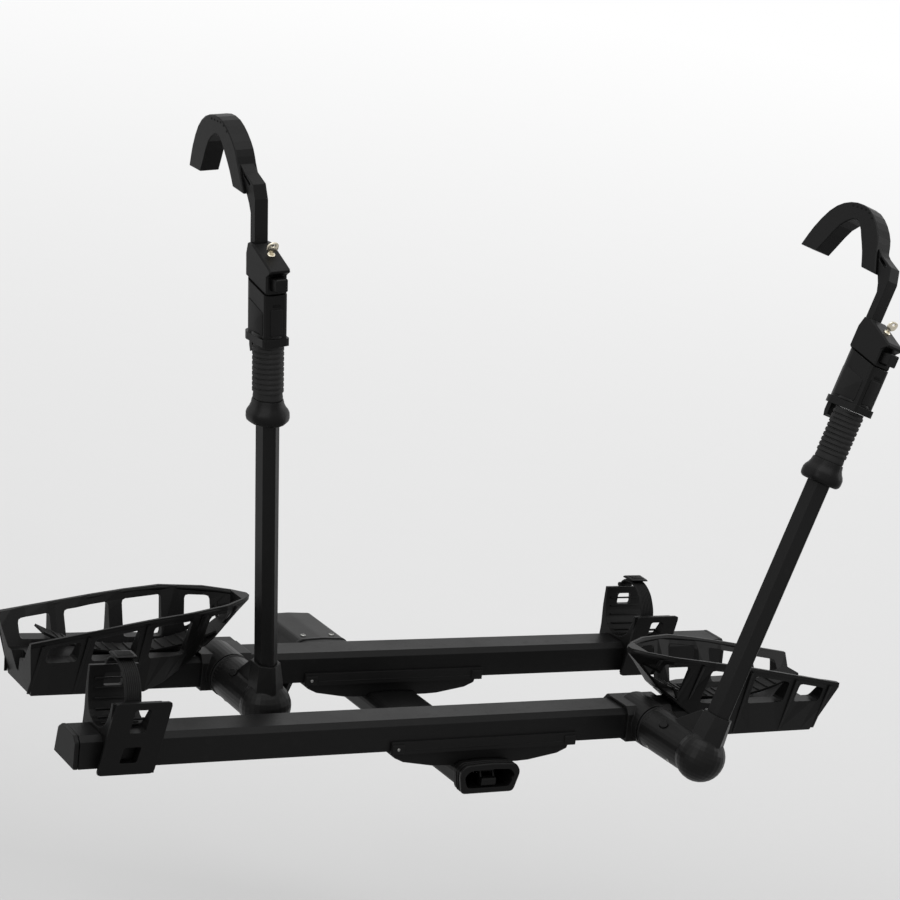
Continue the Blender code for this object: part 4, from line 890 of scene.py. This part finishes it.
class RACK_OT_cradle_details(bpy.types.Operator):
    """Ladder straps, buckles and ribs of the strap cradles"""
    bl_idname = "rack.cradle_details"
    bl_label = "Cradle details"

    def execute(self, context):
        for side in SIDES:
            place = cradle_frame(side)
            self.lap_ribs(side, place)
            self.strap(side, place)
            self.buckle(side, place)
        return {'FINISHED'}

    def lap_ribs(self, side, place):
        path = curve_through([Vector((0, y, z)) for y, z in LAP], 3)
        meshes = []
        for i in range(2, len(path) - 2, 2):
            along = (path[i + 1] - path[i - 1]).normalized()
            out = Vector((0, -along.z, along.y))
            bar = box((-0.030, -0.0014, -0.001), (0.030, 0.0014, 0.0026), 0.0006)
            bar.transform(Matrix.Translation(path[i]) @ Matrix((Vector((1, 0, 0)), along,
                                                                out)).transposed().to_4x4())
            meshes.append(bar)
        add_piece(side + "_cradle_ribs", joined(meshes), "dull_plastic", side + "_cradle", place, 40)

    def strap(self, side, place):
        """Rubber strap with a rolled hinge end and long ribs."""
        path = curve_through([Vector((0, y, z)) for y, z in STRAP], 6)
        rings, rungs = [], []
        half = 0.0135
        for i, point in enumerate(path):
            along = (path[min(i + 1, len(path) - 1)] - path[max(i - 1, 0)]).normalized()
            out = Vector((0, along.z, -along.y))
            section = rounded(rectangle(-half, -0.0016, half, 0.0016), 0.0012, 3)
            rings.append([point + Vector((x, 0, 0)) + out * y for x, y in section])
        count = settings().strap_rungs
        for k in range(count):
            x = (k / (count - 1) - 0.5) * 0.0225
            line = []
            for i in range(2, len(path) - 2):
                along = (path[i + 1] - path[i - 1]).normalized()
                out = Vector((0, along.z, -along.y))
                line.append([path[i] + Vector((x + a, 0, 0)) + out * b
                             for a, b in ((-0.0009, 0.0006), (0.0009, 0.0006), (0.0006, 0.0028),
                                          (-0.0006, 0.0028))])
            rungs.append(skin(line))
        barrel = turned([(0.0036, -0.014), (0.0040, -0.013), (0.0040, 0.013), (0.0036, 0.014)],
                        Matrix.Translation((0, *STRAP[0])) @ Matrix.Rotation(math.pi / 2, 4, 'Y'), 20)
        piece = add_piece(side + "_ladder_strap", joined([skin(rings), barrel] + rungs), "strap",
                          side + "_strap", place,
                          40)
        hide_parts(side + "_strap")

    def buckle(self, side, place):
        low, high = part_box(side + "_buckle")
        base = low[2] - place.translation.z
        front, back = low[1] - place.translation.y, high[1] - place.translation.y
        half = (high[0] - low[0]) / 2
        side_view = [(front + 0.006, base + 0.0008), (front, base + 0.0034), (front + 0.004, base + 0.0052),
                     (back - 0.006, base + 0.0062), (back, base + 0.0030), (back, base + 0.0008)]
        body = slab([rounded(side_view, 0.0012, 3)], -half, half, PLANE_YZ, 0.0010)
        ribs = [box((-half + 0.004, front + 0.008 + 0.0045 * k, base + 0.0044),
                    (half - 0.004, front + 0.0100 + 0.0045 * k, base + 0.0066), 0.0005) for k in range(4)]
        piece = add_piece(side + "_strap_buckle", joined([body] + ribs), "plastic", side + "_buckle",
                          place, 40)
        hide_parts(side + "_buckle")


# ---- stage ---------------------------------------------------------------------------------------
class RACK_OT_paint(bpy.types.Operator):
    """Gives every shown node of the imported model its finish"""
    bl_idname = "rack.paint"
    bl_label = "Paint the nodes"

    def execute(self, context):
        for name, obj in NODES.items():
            kind = name
            for side in SIDES:
                kind = kind.removeprefix(side + "_")
            obj.data.materials.clear()
            obj.data.materials.append(look(NODE_LOOKS[kind]))
            round_edges = obj.modifiers.new("round_edges", 'BEVEL')
            round_edges.width = EDGE_ROUND.get(kind, 0.0008)
            round_edges.segments = 2
            round_edges.limit_method = 'ANGLE'
            round_edges.angle_limit = math.radians(38)
            round_edges.harden_normals = False
        return {'FINISHED'}


def area_light(name, at, towards, size, power, size_y=None):
    light = bpy.data.lights.new(name, 'AREA')
    light.energy = power
    light.shape = 'RECTANGLE'
    light.size, light.size_y = size, size_y or size
    obj = bpy.data.objects.new(name, light)
    bpy.context.scene.collection.objects.link(obj)
    obj.location = at
    obj.rotation_euler = (Vector(towards) - Vector(at)).to_track_quat('-Z', 'Y').to_euler()


class RACK_OT_stage(bpy.types.Operator):
    """Pale floor, soft studio light and the camera"""
    bl_idname = "rack.stage"
    bl_label = "Studio"

    def execute(self, context):
        shape = bmesh.new()
        bmesh.ops.create_grid(shape, x_segments=8, y_segments=8, size=400)
        mesh = from_bmesh(shape)
        mesh.materials.append(look("floor"))
        floor = bpy.data.objects.new("studio_floor", mesh)
        floor.location = (0, 0, cad_box[0][2] - 0.55)
        context.scene.collection.objects.link(floor)
        world = bpy.data.worlds.new("studio")
        world.use_nodes = True
        world.node_tree.nodes["Background"].inputs["Color"].default_value = (1, 1, 1, 1)
        world.node_tree.nodes["Background"].inputs["Strength"].default_value = 1.0
        context.scene.world = world
        area_light("top_softbox", (-0.6, -1.2, 3.6), (0, -0.7, 0.3), 3.2, 70, 2.4)
        area_light("left_softbox", (-3.4, -1.8, 1.9), (0, -0.7, 0.5), 1.6, 38, 2.2)
        area_light("right_strip", (3.2, -2.2, 1.6), (0.2, -0.7, 0.5), 0.7, 22, 2.4)
        camera = bpy.data.cameras.new("camera")
        camera.sensor_width = CAMERA_SENSOR
        camera.lens = CAMERA_LENS
        obj = bpy.data.objects.new("camera", camera)
        context.scene.collection.objects.link(obj)
        right, down, ahead = (Vector(v).normalized() for v in ((0.8533, -0.4973, 0.1568),
                                                               (0.0146, -0.2778, -0.9605),
                                                              (0.5212, 0.8219, -0.2298)))
        obj.matrix_world = Matrix.Translation(CAMERA_PLACE) @ Matrix((right, -down, -ahead)
                                                                                  ).transposed().to_4x4()
        context.scene.camera = obj
        context.scene.view_settings.view_transform = 'Standard'
        return {'FINISHED'}


OPERATORS = (RACK_OT_paint, RACK_OT_grips, RACK_OT_hooks, RACK_OT_head_details, RACK_OT_hub_details,
             RACK_OT_rail_details, RACK_OT_spine_details, RACK_OT_tray_details, RACK_OT_cradle_details,
             RACK_OT_stage)


class RACK_PT_panel(bpy.types.Panel):
    """Lists the rack's settings and pieces"""
    bl_idname = "RACK_PT_panel"
    bl_label = "Bike rack"
    bl_space_type = 'VIEW_3D'
    bl_region_type = 'UI'
    bl_category = "Bike rack"

    def draw(self, context):
        group = context.scene.rack_finish
        for key in RackFinish.__annotations__:
            self.layout.prop(group, key)
        for operator in OPERATORS:
            self.layout.operator(operator.bl_idname)


CLASSES = (RackFinish, *OPERATORS, RACK_PT_panel)


def register():
    for cls in CLASSES:
        bpy.utils.register_class(cls)
    bpy.types.Scene.rack_finish = bpy.props.PointerProperty(type=RackFinish)


def unregister():
    del bpy.types.Scene.rack_finish
    for cls in reversed(CLASSES):
        bpy.utils.unregister_class(cls)


def main():
    register()
    for operator in OPERATORS:
        group, name = operator.bl_idname.split(".")
        getattr(getattr(bpy.ops, group), name)()


if __name__ == "__main__":
    main()
